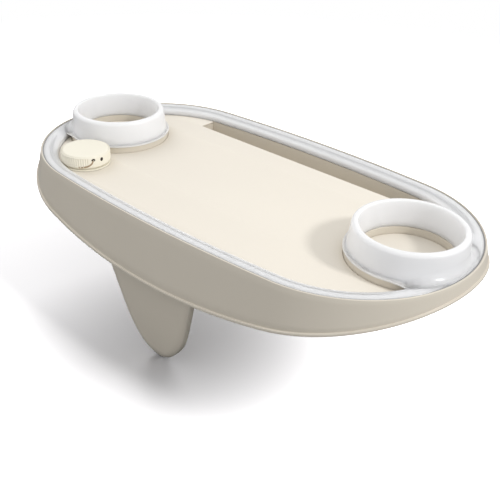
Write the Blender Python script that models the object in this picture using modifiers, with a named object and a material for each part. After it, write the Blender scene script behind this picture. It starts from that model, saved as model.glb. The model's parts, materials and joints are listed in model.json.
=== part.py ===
"""Hot tub tray that sits astride an inflatable tub wall, with two cup collars and a push light.

+Z is up, +X runs along the tray and -Y is the bather's side. The origin is the centre of the
floor's underside, where the crown of the tub wall carries the tray. All sizes are in metres.
"""

import math

import bmesh
import bpy
from mathutils import Matrix, Vector

# Fits
SEAT_GAP = 0.0003
SCREW_CLEARANCE = 0.0003
SLIDE_CLEARANCE = 0.0003

# Plan of the tray: a long bow on each side, a tighter arc at each end
TRAY_LENGTH = 0.419
TRAY_WIDTH = 0.2168
END_ARC_SHARE = 0.95664
END_RADIUS = TRAY_WIDTH / 2 * END_ARC_SHARE
SIDE_STEPS = 3
END_STEPS = 11

# Plates and levels, counted up from the floor's underside
FLOOR_PLATE = 0.0016
DECK_PLATE = 0.0015
RIM_RISE = 0.0078

# Skirt of the base
SKIRT_DEPTH_MIDDLE = 0.0461
SKIRT_DEPTH_END = 0.0115
SKIRT_FLARE = 0.213
SKIRT_WALL = 0.0025
LIP_WIDTH = 0.0016
BEAD_PROUD = 0.0012
BEAD_HEIGHT = 0.0022

# Ribs under the floor, hollowed to the crown of the tub wall
TUB_WALL_RADIUS = 0.127
RIB_THICKNESS = 0.0020
RIB_SPACING = 0.032
RIB_COUNT_EACH_SIDE = 3
RIB_SET_BACK = 0.0040
RIB_STEPS = 12

# White frame: rim band and cup collars in one piece
RIM_CREASE_INSET = 0.0070
RIM_CREASE_DROP = 0.0002
RIM_INNER_INSET = 0.0145
RIM_INNER_DROP = 0.0031
RIM_DRAFT = 0.0005
FRAME_WALL = 0.0022

# Cup collars
CUP_FROM_END = 0.0503
CUP_SPACING = TRAY_LENGTH - 2 * CUP_FROM_END
COLLAR_RISE = 0.0193
COLLAR_TOP_OUTER = 0.0403
COLLAR_TOP_INNER = 0.0343
COLLAR_FOOT_OUTER = 0.0465
COLLAR_FOOT_DROP = 0.0023
COLLAR_LIP_HEIGHT = 0.0012
COLLAR_LIP_PROUD = 0.0005
COLLAR_EDGE_RADIUS = 0.0020
COLLAR_FLARE_POWER = 1.25
FILLET_REACH = 0.0200
FILLET_HEIGHT = 0.0120
CUP_STEPS = 32

# Plinths that carry the collars
PLINTH_OUTER = 0.0456
PLINTH_INNER = 0.0357
PLINTH_WALL = 0.0018
CUP_MAT_THICKNESS = 0.0010

# Device slot behind the deck
SLOT_FROM_END = 0.0895
SLOT_LENGTH = TRAY_LENGTH - 2 * SLOT_FROM_END
SLOT_FROM_BACK = 0.0369
SLOT_FRONT = TRAY_WIDTH / 2 - SLOT_FROM_BACK
SLOT_DEPTH = 0.0200
SLOT_WALL = 0.0018
SLOT_STATIONS = 6

# Push light
BARREL_RADIUS = 0.0183
LIGHT_FLANGE = 0.0030
LIGHT_RADIUS = BARREL_RADIUS + LIGHT_FLANGE
LIGHT_TO_COLLAR = 0.00097
LIGHT_TO_BAND = 0.00036
LIGHT_RISE = 0.0135
LIGHT_STEPS = 28
CAP_PROUD = 0.0011
CAP_TRAVEL = 0.0010
CAP_PLATE = 0.0016
CAP_ROUND = 0.0016
CAP_DEPTH = 0.0064
CAP_SKIRT = 0.0012
SEAL_THICKNESS = 0.0008
GRIP_WALL = 0.0011
GRIP_RIBS = 26
GRIP_RIB_DEPTH = 0.0005
GRIP_RIB_SWEEP = 250.0
BARREL_WALL = 0.0013
BARREL_DEPTH = 0.0130
FLANGE_THICKNESS = 0.0012
LUG_COUNT = 3
LUG_REACH = 0.0013
LUG_HEIGHT = 0.0020
LUG_SWEEP = 24.0
TWIST_RANGE = 40.0
WELL_WALL = 0.0016
BOARD_THICKNESS = 0.0016
LED_SIZE = 0.0050
LED_HEIGHT = 0.0016
LED_FROM_BARREL = 0.0073
LED_CIRCLE = BARREL_RADIUS - LED_FROM_BARREL
SWITCH_SIZE = 0.0080
SWITCH_HEIGHT = 0.0060
PLUNGER_RADIUS = 0.0016
CELL_FROM_BARREL = 0.0083
CELL_RADIUS = BARREL_RADIUS - CELL_FROM_BARREL
CELL_THICKNESS = 0.0032
CONTACT_THICKNESS = 0.0004
CONTACT_WIDTH = 0.0045
COVER_THICKNESS = 0.0020
COVER_SCREW_INSET = 0.0040
COVER_SCREW_CIRCLE = BARREL_RADIUS - COVER_SCREW_INSET
COVER_BOSS_WALL = 0.0018
HOLDER_WALL = 0.0008

# Front tongue: depth below the rim and half width at each station down its length
TONGUE_STATIONS = (
    (0.0500, 0.0475),
    (0.0700, 0.0415),
    (0.0900, 0.0353),
    (0.1000, 0.0318),
    (0.1080, 0.0278),
    (0.1140, 0.0238),
    (0.1200, 0.0188),
    (0.1250, 0.0132),
    (0.1284, 0.0070),
    (0.1296, 0.0022),
)
TONGUE_TOP_INSET = 0.0034
TONGUE_BEND_FORWARD = 0.0054
TONGUE_TOP_Y = TONGUE_TOP_INSET - TRAY_WIDTH / 2
TONGUE_BEND_Y = TONGUE_TOP_Y - TONGUE_BEND_FORWARD
TONGUE_LEAN = 0.10
TONGUE_THICKNESS = 0.0078
TONGUE_BEVEL_WIDE = 0.0050
TONGUE_BEVEL_DEEP = 0.0018
TONGUE_WALL = 0.0022
TONGUE_RIB_SPACING = 0.0150
TONGUE_FLANGE = 0.0030
TONGUE_FLANGE_INSET = 0.0184
TONGUE_FLANGE_BACK = TONGUE_FLANGE_INSET - TRAY_WIDTH / 2
TONGUE_FLANGE_HALF = 0.0340
TONGUE_FLANGE_CORNER = 0.0100

# Screws
SCREW_RADIUS = 0.0014
SCREW_HEAD_RADIUS = 0.0028
SCREW_HEAD_HEIGHT = 0.0017
BOSS_WALL = 0.0014
SMALL_SCREW_RADIUS = 0.0009
SMALL_SCREW_CLEARANCE = 0.0002
SMALL_SCREW_HEAD_RADIUS = 0.0016
SMALL_SCREW_HEAD_HEIGHT = 0.0010
RIM_SCREW_X = 0.072
RIM_SCREW_INSET = 0.0080
TONGUE_SCREW_X = 0.024
COLLAR_SCREW_ANGLE = 55.0
COLLAR_SCREW_CIRCLE = 0.0402
COLLAR_BOSS_HEIGHT = 0.0062

# Levels that follow from the plates
FLOOR_TOP = FLOOR_PLATE
DECK_LOW = FLOOR_TOP + SEAT_GAP
DECK_TOP = DECK_LOW + DECK_PLATE
RIM_Z = DECK_TOP + RIM_RISE
FRAME_LOW = DECK_TOP + SEAT_GAP
COLLAR_FOOT_Z = RIM_Z - COLLAR_FOOT_DROP
COLLAR_TOP_Z = RIM_Z + COLLAR_RISE
PLINTH_TOP = COLLAR_FOOT_Z - SEAT_GAP
SLOT_BOTTOM = DECK_TOP - SLOT_DEPTH
RIM_INNER_LOW = RIM_INNER_INSET + RIM_DRAFT
CUP_X = CUP_SPACING / 2

# Past the faces that a cutter has to clear
REACH = 0.0100
# How far joined shapes run into each other
JOIN = 0.0004
# Corners closer than this become one
WELD_DISTANCE = 0.00001


# The scene and its collections
def clear_scene():
    for item in list(bpy.data.objects):
        bpy.data.objects.remove(item, do_unlink=True)


def new_collection(name):
    found = bpy.data.collections.new(name)
    bpy.context.scene.collection.children.link(found)
    return found


clear_scene()
TRAY = new_collection("hot_tub_tray")
CUTTERS = new_collection("cutters")


# Materials
def material(name, color, roughness, metallic=0.0, transmission=0.0):
    made = bpy.data.materials.new(name)
    made.use_nodes = True
    shader = made.node_tree.nodes["Principled BSDF"]
    shader.inputs["Base Color"].default_value = (*color, 1.0)
    shader.inputs["Roughness"].default_value = roughness
    shader.inputs["Metallic"].default_value = metallic
    shader.inputs["Transmission Weight"].default_value = transmission
    return made


TAUPE = material("taupe_plastic", (0.56, 0.515, 0.435), 0.36)
CREAM = material("cream_plastic", (0.87, 0.81, 0.715), 0.58)
MILKY = material("milky_plastic", (0.80, 0.805, 0.815), 0.24)
IVORY = material("ivory_plastic", (0.86, 0.82, 0.70), 0.46)
SILICONE = material("clear_silicone", (0.70, 0.70, 0.68), 0.60)
BLACK = material("black_plastic", (0.03, 0.03, 0.03), 0.50)
BOARD = material("board_green", (0.02, 0.16, 0.06), 0.45)
LED = material("led_body", (0.92, 0.90, 0.70), 0.30)
STEEL = material("steel", (0.60, 0.60, 0.62), 0.30, metallic=1.0)


# Making objects
def link(name, mesh, paint, collection=None):
    made = bpy.data.objects.new(name, mesh)
    if paint:
        mesh.materials.append(paint)
    (collection or TRAY).objects.link(made)
    return made


def as_cutter(made):
    for held in list(made.users_collection):
        held.objects.unlink(made)
    CUTTERS.objects.link(made)
    made.hide_render = True
    made.display_type = "WIRE"
    return made


def finish_mesh(name, shape, paint):
    mesh = bpy.data.meshes.new(name)
    shape.to_mesh(mesh)
    shape.free()
    return link(name, mesh, paint)


def box(name, low, high, paint=None):
    low, high = Vector(low), Vector(high)
    shape = bmesh.new()
    size = Matrix.Diagonal((*(high - low), 1.0))
    bmesh.ops.create_cube(shape, size=1.0, matrix=Matrix.Translation((low + high) / 2) @ size)
    return finish_mesh(name, shape, paint)


def cylinder(name, centre, radius, z_low, z_high, paint=None, steps=24):
    shape = bmesh.new()
    middle = Matrix.Translation((centre[0], centre[1], (z_low + z_high) / 2))
    bmesh.ops.create_cone(shape, cap_ends=True, segments=steps, radius1=radius, radius2=radius,
                          depth=z_high - z_low, matrix=middle)
    return finish_mesh(name, shape, paint)


def turned(name, profile, centre, paint=None, steps=CUP_STEPS, closed=False):
    """Turns a profile of (radius, height) points, given down its outer side, about Z."""
    mesh = bpy.data.meshes.new(name)
    edges = [(i, i + 1) for i in range(len(profile) - 1)]
    if closed:
        edges.append((len(profile) - 1, 0))
    mesh.from_pydata([(radius, 0.0, z) for radius, z in profile], edges, [])
    made = link(name, mesh, paint)
    made.location = (centre[0], centre[1], 0.0)
    screw = made.modifiers.new("turn", "SCREW")
    screw.axis = "Z"
    screw.angle = 2 * math.pi
    screw.steps = screw.render_steps = steps
    screw.use_merge_vertices = True
    screw.merge_threshold = 0.00001
    screw.use_smooth_shade = False
    return made


def plate(name, outlines, z_low, z_high, paint=None, matrix=None):
    """A flat outline with its holes, drawn as a 2D curve and given its thickness."""
    curve = bpy.data.curves.new(name, "CURVE")
    curve.dimensions = "2D"
    curve.fill_mode = "BOTH"
    curve.extrude = (z_high - z_low) / 2
    for outline in outlines:
        spline = curve.splines.new("POLY")
        spline.points.add(len(outline) - 1)
        for point, (x, y) in zip(spline.points, outline):
            point.co = (x, y, 0.0, 1.0)
        spline.use_cyclic_u = True
    drawn = bpy.data.objects.new(name + "_curve", curve)
    TRAY.objects.link(drawn)
    drawn.matrix_world = (matrix or Matrix()) @ Matrix.Translation((0, 0, (z_low + z_high) / 2))
    bpy.context.view_layer.update()
    graph = bpy.context.evaluated_depsgraph_get()
    mesh = bpy.data.meshes.new_from_object(drawn.evaluated_get(graph))
    mesh.name = name
    shape = bmesh.new()
    shape.from_mesh(mesh)
    bmesh.ops.remove_doubles(shape, verts=shape.verts, dist=0.000005)
    bmesh.ops.recalc_face_normals(shape, faces=shape.faces)
    shape.to_mesh(mesh)
    shape.free()
    made = link(name, mesh, paint)
    made.matrix_world = drawn.matrix_world
    bpy.data.objects.remove(drawn, do_unlink=True)
    return made


def loft(name, rings, paint=None):
    """Joins rings of equal point counts into one closed body, capped at its first and last ring."""
    shape = bmesh.new()
    corners = [[shape.verts.new(point) for point in ring] for ring in rings]
    count = len(corners[0])
    for lower, upper in zip(corners, corners[1:]):
        for i in range(count):
            j = (i + 1) % count
            shape.faces.new((lower[i], lower[j], upper[j], upper[i]))
    shape.faces.new(list(reversed(corners[0])))
    shape.faces.new(corners[-1])
    bmesh.ops.recalc_face_normals(shape, faces=shape.faces)
    return finish_mesh(name, shape, paint)


def ring_loft(name, rings, paint=None):
    """Joins rings of equal point counts into one closed tube: the last ring meets the first."""
    shape = bmesh.new()
    corners = [[shape.verts.new(point) for point in ring] for ring in rings]
    count = len(corners[0])
    for lower, upper in zip(corners, corners[1:] + corners[:1]):
        for i in range(count):
            j = (i + 1) % count
            shape.faces.new((lower[i], lower[j], upper[j], upper[i]))
    bmesh.ops.recalc_face_normals(shape, faces=shape.faces)
    return finish_mesh(name, shape, paint)


def combine(target, tool, operation):
    step = target.modifiers.new(operation.lower(), "BOOLEAN")
    step.operation = operation
    step.solver = "EXACT"
    step.object = as_cutter(tool)
    return target


def cut(target, tool):
    return combine(target, tool, "DIFFERENCE")


def join(target, tool):
    return combine(target, tool, "UNION")


def weld(made):
    """Merges the doubled corners that a Boolean can leave."""
    made.modifiers.new("weld", "WELD").merge_threshold = WELD_DISTANCE
    return made


def smooth(made, angle=32.0):
    if made.data.polygons:
        made.data.shade_smooth()
        made.data.set_sharp_from_angle(angle=math.radians(angle))


# Outline of the tray
def bow():
    """Radius of the side's bow, and the angle at which it passes into the end's arc."""
    reach = TRAY_LENGTH / 2 - END_RADIUS
    half = TRAY_WIDTH / 2
    radius = (reach ** 2 + half ** 2 - END_RADIUS ** 2) / (2 * (half - END_RADIUS))
    return radius, math.asin(reach / (radius - END_RADIUS))


def quarter_outline(inset):
    """Points from the middle of the back to the tip of the right end."""
    radius, turn = bow()
    middle = TRAY_WIDTH / 2 - radius
    reach = TRAY_LENGTH / 2 - END_RADIUS
    points = []
    for i in range(SIDE_STEPS):
        angle = turn * i / SIDE_STEPS
        points.append(((radius - inset) * math.sin(angle),
                       middle + (radius - inset) * math.cos(angle)))
    for i in range(END_STEPS + 1):
        angle = turn + (math.pi / 2 - turn) * i / END_STEPS
        points.append((reach + (END_RADIUS - inset) * math.sin(angle),
                       (END_RADIUS - inset) * math.cos(angle)))
    return points


def outline(inset):
    """The whole outline, clockwise from the middle of the back."""
    first = quarter_outline(inset)
    right = first + [(x, -y) for x, y in reversed(first[:-1])]
    left = [(-x, y) for x, y in reversed(right[1:-1])]
    return right + left


def edge_y(x, inset):
    """How far back the outline lies at x."""
    radius, turn = bow()
    if abs(x) <= (radius - inset) * math.sin(turn):
        return TRAY_WIDTH / 2 - radius + math.sqrt((radius - inset) ** 2 - x ** 2)
    reach = TRAY_LENGTH / 2 - END_RADIUS
    return math.sqrt((END_RADIUS - inset) ** 2 - (abs(x) - reach) ** 2)


def level_ring(inset, z):
    return [(x, y, z) for x, y in outline(inset)]


def skirt_depth(x):
    """Depth of the skirt below the rim: its edge is an arc in the side view."""
    half = TRAY_LENGTH / 2
    rise = SKIRT_DEPTH_MIDDLE - SKIRT_DEPTH_END
    radius = (half ** 2 + rise ** 2) / (2 * rise)
    return SKIRT_DEPTH_MIDDLE - radius + math.sqrt(radius ** 2 - min(abs(x), half) ** 2)


def skirt_ring(inward, up):
    """A ring that follows the skirt's flared bottom edge."""
    points = []
    for (x, y), (x_far, y_far) in zip(outline(0.0), outline(0.010)):
        depth = skirt_depth(x) - up
        share = (inward - SKIRT_FLARE * depth) / 0.010
        points.append((x + (x_far - x) * share, y + (y_far - y) * share, RIM_Z - depth))
    return points


def circle(radius, steps, centre=(0.0, 0.0), turn=0.0):
    return [(centre[0] + radius * math.cos(turn + 2 * math.pi * i / steps),
             centre[1] + radius * math.sin(turn + 2 * math.pi * i / steps)) for i in range(steps)]


def sector(radius_in, radius_out, start, sweep, centre, steps=3):
    """A piece of a ring, between two radii, from a start angle in degrees."""
    angles = [math.radians(start + sweep * i / steps) for i in range(steps + 1)]
    outer = [(centre[0] + radius_out * math.cos(a), centre[1] + radius_out * math.sin(a))
             for a in angles]
    inner = [(centre[0] + radius_in * math.cos(a), centre[1] + radius_in * math.sin(a))
             for a in reversed(angles)]
    return outer + inner


# Places that several pieces share
def cup_centres():
    return {"left": (-CUP_X, 0.0), "right": (CUP_X, 0.0)}


def rim_screws():
    """Screws that clamp the frame along the tray's sides."""
    places = {}
    for side, sign in (("left", -1), ("right", 1)):
        x = sign * RIM_SCREW_X
        places["front_" + side] = (x, -edge_y(x, RIM_SCREW_INSET))
        places["back_" + side] = (x, edge_y(x, RIM_SCREW_INSET))
    return places


def tongue_screws():
    """Longer screws that clamp the tongue, floor, deck and frame together."""
    y = -edge_y(TONGUE_SCREW_X, RIM_SCREW_INSET)
    return {"left": (-TONGUE_SCREW_X, y), "right": (TONGUE_SCREW_X, y)}


def collar_screws():
    places = {}
    for side, (x, y) in cup_centres().items():
        for end, sign in (("front", -1), ("back", 1)):
            angle = math.radians(COLLAR_SCREW_ANGLE) * sign
            inward = -1 if x > 0 else 1
            places[side + "_" + end] = (x + inward * COLLAR_SCREW_CIRCLE * math.cos(angle),
                                        y + COLLAR_SCREW_CIRCLE * math.sin(angle))
    return places



def light_place():
    """The light stands close to the left collar and to the rim band in front of it."""
    inset = RIM_INNER_LOW + LIGHT_TO_BAND + LIGHT_RADIUS
    wanted = COLLAR_FOOT_OUTER + LIGHT_TO_COLLAR + LIGHT_RADIUS
    near, far = -CUP_X, 0.0
    for _ in range(50):
        x = (near + far) / 2
        if math.hypot(x + CUP_X, edge_y(x, inset)) < wanted:
            near = x
        else:
            far = x
    return x, -edge_y(x, inset)


LIGHT = light_place()
LIGHT_X, LIGHT_Y = LIGHT
HOLE = SCREW_RADIUS + SCREW_CLEARANCE
BOSS = HOLE + BOSS_WALL
SMALL_HOLE = SMALL_SCREW_RADIUS + SMALL_SCREW_CLEARANCE
COLLAR_HOLE_TOP = COLLAR_FOOT_Z + COLLAR_BOSS_HEIGHT - 0.0012
LUG_TOP = -SEAT_GAP
LUG_LOW = LUG_TOP - LUG_HEIGHT
LUG_RADIUS = BARREL_RADIUS + LUG_REACH
WELL_RADIUS = LUG_RADIUS + 2 * SLIDE_CLEARANCE
WELL_BOTTOM = -BARREL_DEPTH - 2 * SEAT_GAP


def screw(name, place, z_head, length, radius=SCREW_RADIUS, head=SCREW_HEAD_RADIUS,
          head_height=SCREW_HEAD_HEIGHT):
    """A pan-head screw driven from below: z_head is the face of its head that clamps."""
    profile = [
        (0.0, z_head + length),
        (radius * 0.5, z_head + length),
        (radius, z_head + length - radius),
        (radius, z_head),
        (head, z_head),
        (head, z_head - head_height * 0.55),
        (head * 0.72, z_head - head_height),
        (0.0, z_head - head_height),
    ]
    return turned(name, profile, place, STEEL, steps=12)


# Base shell
def slot_outline(front, end, back_inset):
    """The device slot: straight front and ends, and a back that follows the rim."""
    stations = [end - 2 * end * i / SLOT_STATIONS for i in range(SLOT_STATIONS + 1)]
    return [(-end, front), (end, front)] + [(x, edge_y(x, back_inset)) for x in stations]


def rib_profile(x):
    """Section of a rib across the tray: flat against the floor, hollowed below."""
    front = -edge_y(x, 0.0) + SKIRT_WALL / 2
    if abs(x) < TONGUE_STATIONS[0][1] + TONGUE_WALL:
        front = TONGUE_FLANGE_BACK + RIB_THICKNESS / 2
    back = edge_y(x, 0.0) - SKIRT_WALL / 2
    lowest = RIM_Z - skirt_depth(x) + RIB_SET_BACK
    crown = FLOOR_PLATE / 4
    level = math.sqrt(TUB_WALL_RADIUS ** 2 - (TUB_WALL_RADIUS + lowest - crown) ** 2)
    points = [(back, FLOOR_TOP / 2), (front, FLOOR_TOP / 2)]
    if level < -front:
        points.append((front, lowest))
    start, end = max(front, -level), min(back, level)
    for i in range(RIB_STEPS + 1):
        y = start + (end - start) * i / RIB_STEPS
        drop = TUB_WALL_RADIUS - math.sqrt(TUB_WALL_RADIUS ** 2 - y ** 2)
        points.append((y, crown - drop))
    if level < back:
        points.append((back, lowest))
    return points


def base_shell():
    floor_inset = SKIRT_WALL - SKIRT_FLARE * RIM_Z
    rings = [
        level_ring(floor_inset, 0.0),
        skirt_ring(SKIRT_WALL, 0.0),
        skirt_ring(-BEAD_PROUD, 0.0),
        skirt_ring(-BEAD_PROUD, BEAD_HEIGHT),
        skirt_ring(0.0, BEAD_HEIGHT + BEAD_PROUD / 2),
        level_ring(0.0, RIM_Z),
        level_ring(LIP_WIDTH, RIM_Z),
        level_ring(LIP_WIDTH, FLOOR_TOP),
    ]
    base = loft("base_shell", rings, TAUPE)

    for i in range(-RIB_COUNT_EACH_SIDE, RIB_COUNT_EACH_SIDE + 1):
        x = i * RIB_SPACING
        across = Matrix(((0, 0, 1, x), (1, 0, 0, 0), (0, 1, 0, 0), (0, 0, 0, 1)))
        half = RIB_THICKNESS / 2
        join(base, plate(f"rib_{i}", [rib_profile(x)], -half, half, matrix=across))

    # Land behind the device slot, that carries the frame
    half = SLOT_LENGTH / 2
    stations = [half - 2 * half * i / SLOT_STATIONS for i in range(SLOT_STATIONS + 1)]
    land_end = half - SEAT_GAP
    land = [(x * land_end / half, edge_y(x, RIM_INNER_LOW)) for x in stations]
    land += [(x * land_end / half, edge_y(x, LIP_WIDTH / 2)) for x in reversed(stations)]
    join(base, plate("land", [land], FLOOR_TOP / 2, DECK_TOP))
    join(base, cylinder("well_wall", LIGHT, WELL_RADIUS + WELL_WALL, WELL_BOTTOM - WELL_WALL,
                        FLOOR_TOP / 2, steps=LIGHT_STEPS))

    # Hollows
    out = SLOT_WALL + SEAT_GAP
    room = slot_outline(SLOT_FRONT - out, half + out, RIM_INNER_LOW - out)
    cut(base, plate("trough_room", [room], SLOT_BOTTOM - out, DECK_TOP + REACH))
    cut(base, cylinder("well", LIGHT, WELL_RADIUS, WELL_BOTTOM, 0.0, steps=LIGHT_STEPS))
    cut(base, cylinder("light_hole", LIGHT, BARREL_RADIUS + SLIDE_CLEARANCE, -FLOOR_PLATE,
                       FLOOR_TOP + REACH, steps=LIGHT_STEPS))
    for i in range(LUG_COUNT):
        start = 360.0 * i / LUG_COUNT + TWIST_RANGE - LUG_SWEEP / 2 - 2.0
        notch = sector(BARREL_RADIUS - LUG_REACH, LUG_RADIUS + SLIDE_CLEARANCE, start,
                       LUG_SWEEP + 4.0, LIGHT)
        cut(base, plate(f"notch_{i}", [notch], -FLOOR_PLATE, FLOOR_TOP + REACH))

    for name, place in {**rim_screws(), **tongue_screws()}.items():
        cut(base, cylinder("base_hole_" + name, place, HOLE, -REACH, DECK_TOP + REACH, steps=12))
    for name, place in collar_screws().items():
        cut(base, cylinder("base_hole_" + name, place, SMALL_HOLE, -REACH, FLOOR_TOP + REACH,
                           steps=12))

    # Blocks between the lugs that end the light's twist at both ends of its range
    for i in range(LUG_COUNT):
        start = 360.0 * i / LUG_COUNT + TWIST_RANGE + LUG_SWEEP / 2 + 2.5
        sweep = 360.0 / LUG_COUNT - TWIST_RANGE - LUG_SWEEP - 3.5
        stop = sector(BARREL_RADIUS + 2 * SLIDE_CLEARANCE, WELL_RADIUS + WELL_WALL / 2, start,
                      sweep, LIGHT)
        join(base, plate(f"stop_{i}", [stop], LUG_LOW, FLOOR_TOP / 2))
    return base


def slot_trough():
    """Trough that a phone or tablet stands in: it drops into the base and rests on its ribs."""
    half = SLOT_LENGTH / 2
    outer = slot_outline(SLOT_FRONT - SLOT_WALL, half + SLOT_WALL, RIM_INNER_LOW - SLOT_WALL)
    trough = plate("slot_trough", [outer], SLOT_BOTTOM - SLOT_WALL, FLOOR_TOP, TAUPE)
    stations = [half - 2 * half * i / SLOT_STATIONS for i in range(SLOT_STATIONS + 1)]
    end = (half - SEAT_GAP) / half
    wall = [(x * end, edge_y(x, RIM_INNER_LOW + JOIN)) for x in stations]
    wall += [(x * end, edge_y(x, RIM_INNER_LOW - SLOT_WALL)) for x in reversed(stations)]
    join(trough, plate("back_wall", [wall], FLOOR_TOP / 2, DECK_TOP))
    cut(trough, plate("slot", [slot_outline(SLOT_FRONT, half, RIM_INNER_LOW)], SLOT_BOTTOM,
                      DECK_TOP + REACH))
    return trough


def cup_steps():
    """Rings that lift the collars off the floor, hollow from below."""
    low = FLOOR_TOP + SEAT_GAP
    ceiling = PLINTH_TOP - PLINTH_WALL
    for side, centre in cup_centres().items():
        step = turned("cup_step_" + side, [
            (PLINTH_OUTER, PLINTH_TOP),
            (PLINTH_OUTER, low),
            (PLINTH_OUTER - PLINTH_WALL, low),
            (PLINTH_OUTER - PLINTH_WALL, ceiling),
            (PLINTH_INNER + PLINTH_WALL, ceiling),
            (PLINTH_INNER + PLINTH_WALL, low),
            (PLINTH_INNER, low),
            (PLINTH_INNER, PLINTH_TOP),
        ], centre, TAUPE, closed=True)
        for name, place in collar_screws().items():
            if name.startswith(side):
                cut(step, cylinder("step_hole_" + name, place, SMALL_HOLE, low,
                                   PLINTH_TOP + REACH, steps=12))


# Deck
def deck_outline():
    """Outline of the deck, which stops short of the slot and of the cup plinths."""
    inset = LIP_WIDTH + SEAT_GAP
    half = SLOT_LENGTH / 2
    plinth = circle(PLINTH_OUTER + SEAT_GAP, CUP_STEPS, (CUP_X, 0.0))[3:-2]
    gate = plinth[0][1]
    reach = TRAY_LENGTH / 2 - END_RADIUS
    far = reach + math.sqrt((END_RADIUS - inset) ** 2 - gate ** 2)
    ring = outline(inset)
    ring = ring[:len(ring) // 2]
    back = [(x, y) for x, y in ring if x > half + SEAT_GAP and y > gate + SEAT_GAP]
    front = [(x, y) for x, y in ring if x > 0 and y < -gate - SEAT_GAP]
    right = [(half, SLOT_FRONT), (half, edge_y(half, inset))] + back + [(far, gate)]
    right += plinth + [(far, -gate)] + front
    return right + [(-x, y) for x, y in reversed(right)]


def deck_panel():
    holes = [circle(LUG_RADIUS + SLIDE_CLEARANCE, LIGHT_STEPS, LIGHT)]
    for name, place in {**rim_screws(), **tongue_screws()}.items():
        if not name.startswith("back"):
            holes.append(circle(HOLE, 12, place))
    return plate("deck_panel", [deck_outline()] + holes, DECK_LOW, DECK_TOP, CREAM)


# Frame
def collar_radius(z):
    """Radius of the collar's outer side at a height: it flares towards its foot."""
    high = COLLAR_TOP_Z - COLLAR_EDGE_RADIUS
    low = COLLAR_FOOT_Z + COLLAR_LIP_HEIGHT
    share = min(max((high - z) / (high - low), 0.0), 1.0)
    flare = COLLAR_FOOT_OUTER - COLLAR_LIP_PROUD - COLLAR_TOP_OUTER
    return COLLAR_TOP_OUTER + flare * share ** COLLAR_FLARE_POWER


def collar_profile():
    """Section of a cup collar: flared outside, round at its top edge, hollow from below."""
    top, foot = COLLAR_TOP_Z, COLLAR_FOOT_Z
    edge = COLLAR_EDGE_RADIUS
    points = []
    for i in range(3):
        angle = math.radians(90 - 45 * i)
        points.append((COLLAR_TOP_OUTER - edge + edge * math.cos(angle),
                       top - edge + edge * math.sin(angle)))
    flare_low = foot + COLLAR_LIP_HEIGHT
    for i in range(1, 5):
        z = top - edge + (flare_low - top + edge) * i / 4
        points.append((collar_radius(z), z))
    points += [(COLLAR_FOOT_OUTER, flare_low), (COLLAR_FOOT_OUTER, foot)]
    channel_top = top - edge - FRAME_WALL
    middle = (foot + channel_top) / 2
    points += [
        (COLLAR_FOOT_OUTER - FRAME_WALL, foot),
        (collar_radius(middle) - FRAME_WALL, middle),
        (COLLAR_TOP_OUTER - FRAME_WALL, channel_top),
        (COLLAR_TOP_INNER + FRAME_WALL, channel_top),
        (PLINTH_INNER + FRAME_WALL, foot),
        (PLINTH_INNER, foot),
        (COLLAR_TOP_INNER, top - edge),
        (COLLAR_TOP_INNER + edge * 0.3, top - edge * 0.3),
        (COLLAR_TOP_INNER + edge, top),
    ]
    return points


def fillet_profile():
    """Hollow curve that carries the collar's outside down into the rim."""
    low = RIM_Z - RIM_INNER_DROP - JOIN
    high = low + FILLET_HEIGHT
    start = collar_radius(high)
    curve = []
    for i in range(5):
        angle = math.radians(90 * i / 4)
        curve.append((start + FILLET_REACH * (1 - math.cos(angle)),
                      low + FILLET_HEIGHT * (1 - math.sin(angle))))
    step = COLLAR_FOOT_Z + JOIN
    inside = [(collar_radius(z) - FRAME_WALL / 2, z)
              for z in (step, step + (high - step) / 2, high - JOIN)]
    notch = PLINTH_OUTER + SEAT_GAP * 2
    foot = [(start + FILLET_REACH, low - JOIN), (notch, low - JOIN), (notch, step)]
    return curve + foot + inside


def collar_room_profile():
    """The space a collar takes out of the rim band, with the gap round it."""
    lip_top = COLLAR_FOOT_Z + COLLAR_LIP_HEIGHT + SEAT_GAP
    high = COLLAR_TOP_Z - COLLAR_EDGE_RADIUS
    heights = [lip_top + (high - lip_top) * i / 4 for i in range(5)]
    side = [(collar_radius(z) + SEAT_GAP, z) for z in reversed(heights)]
    wide = COLLAR_FOOT_OUTER + SEAT_GAP
    return ([(0.0, COLLAR_TOP_Z + REACH), (side[0][0], COLLAR_TOP_Z + REACH)] + side
            + [(wide, lip_top), (wide, FRAME_LOW - REACH), (0.0, FRAME_LOW - REACH)])


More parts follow.
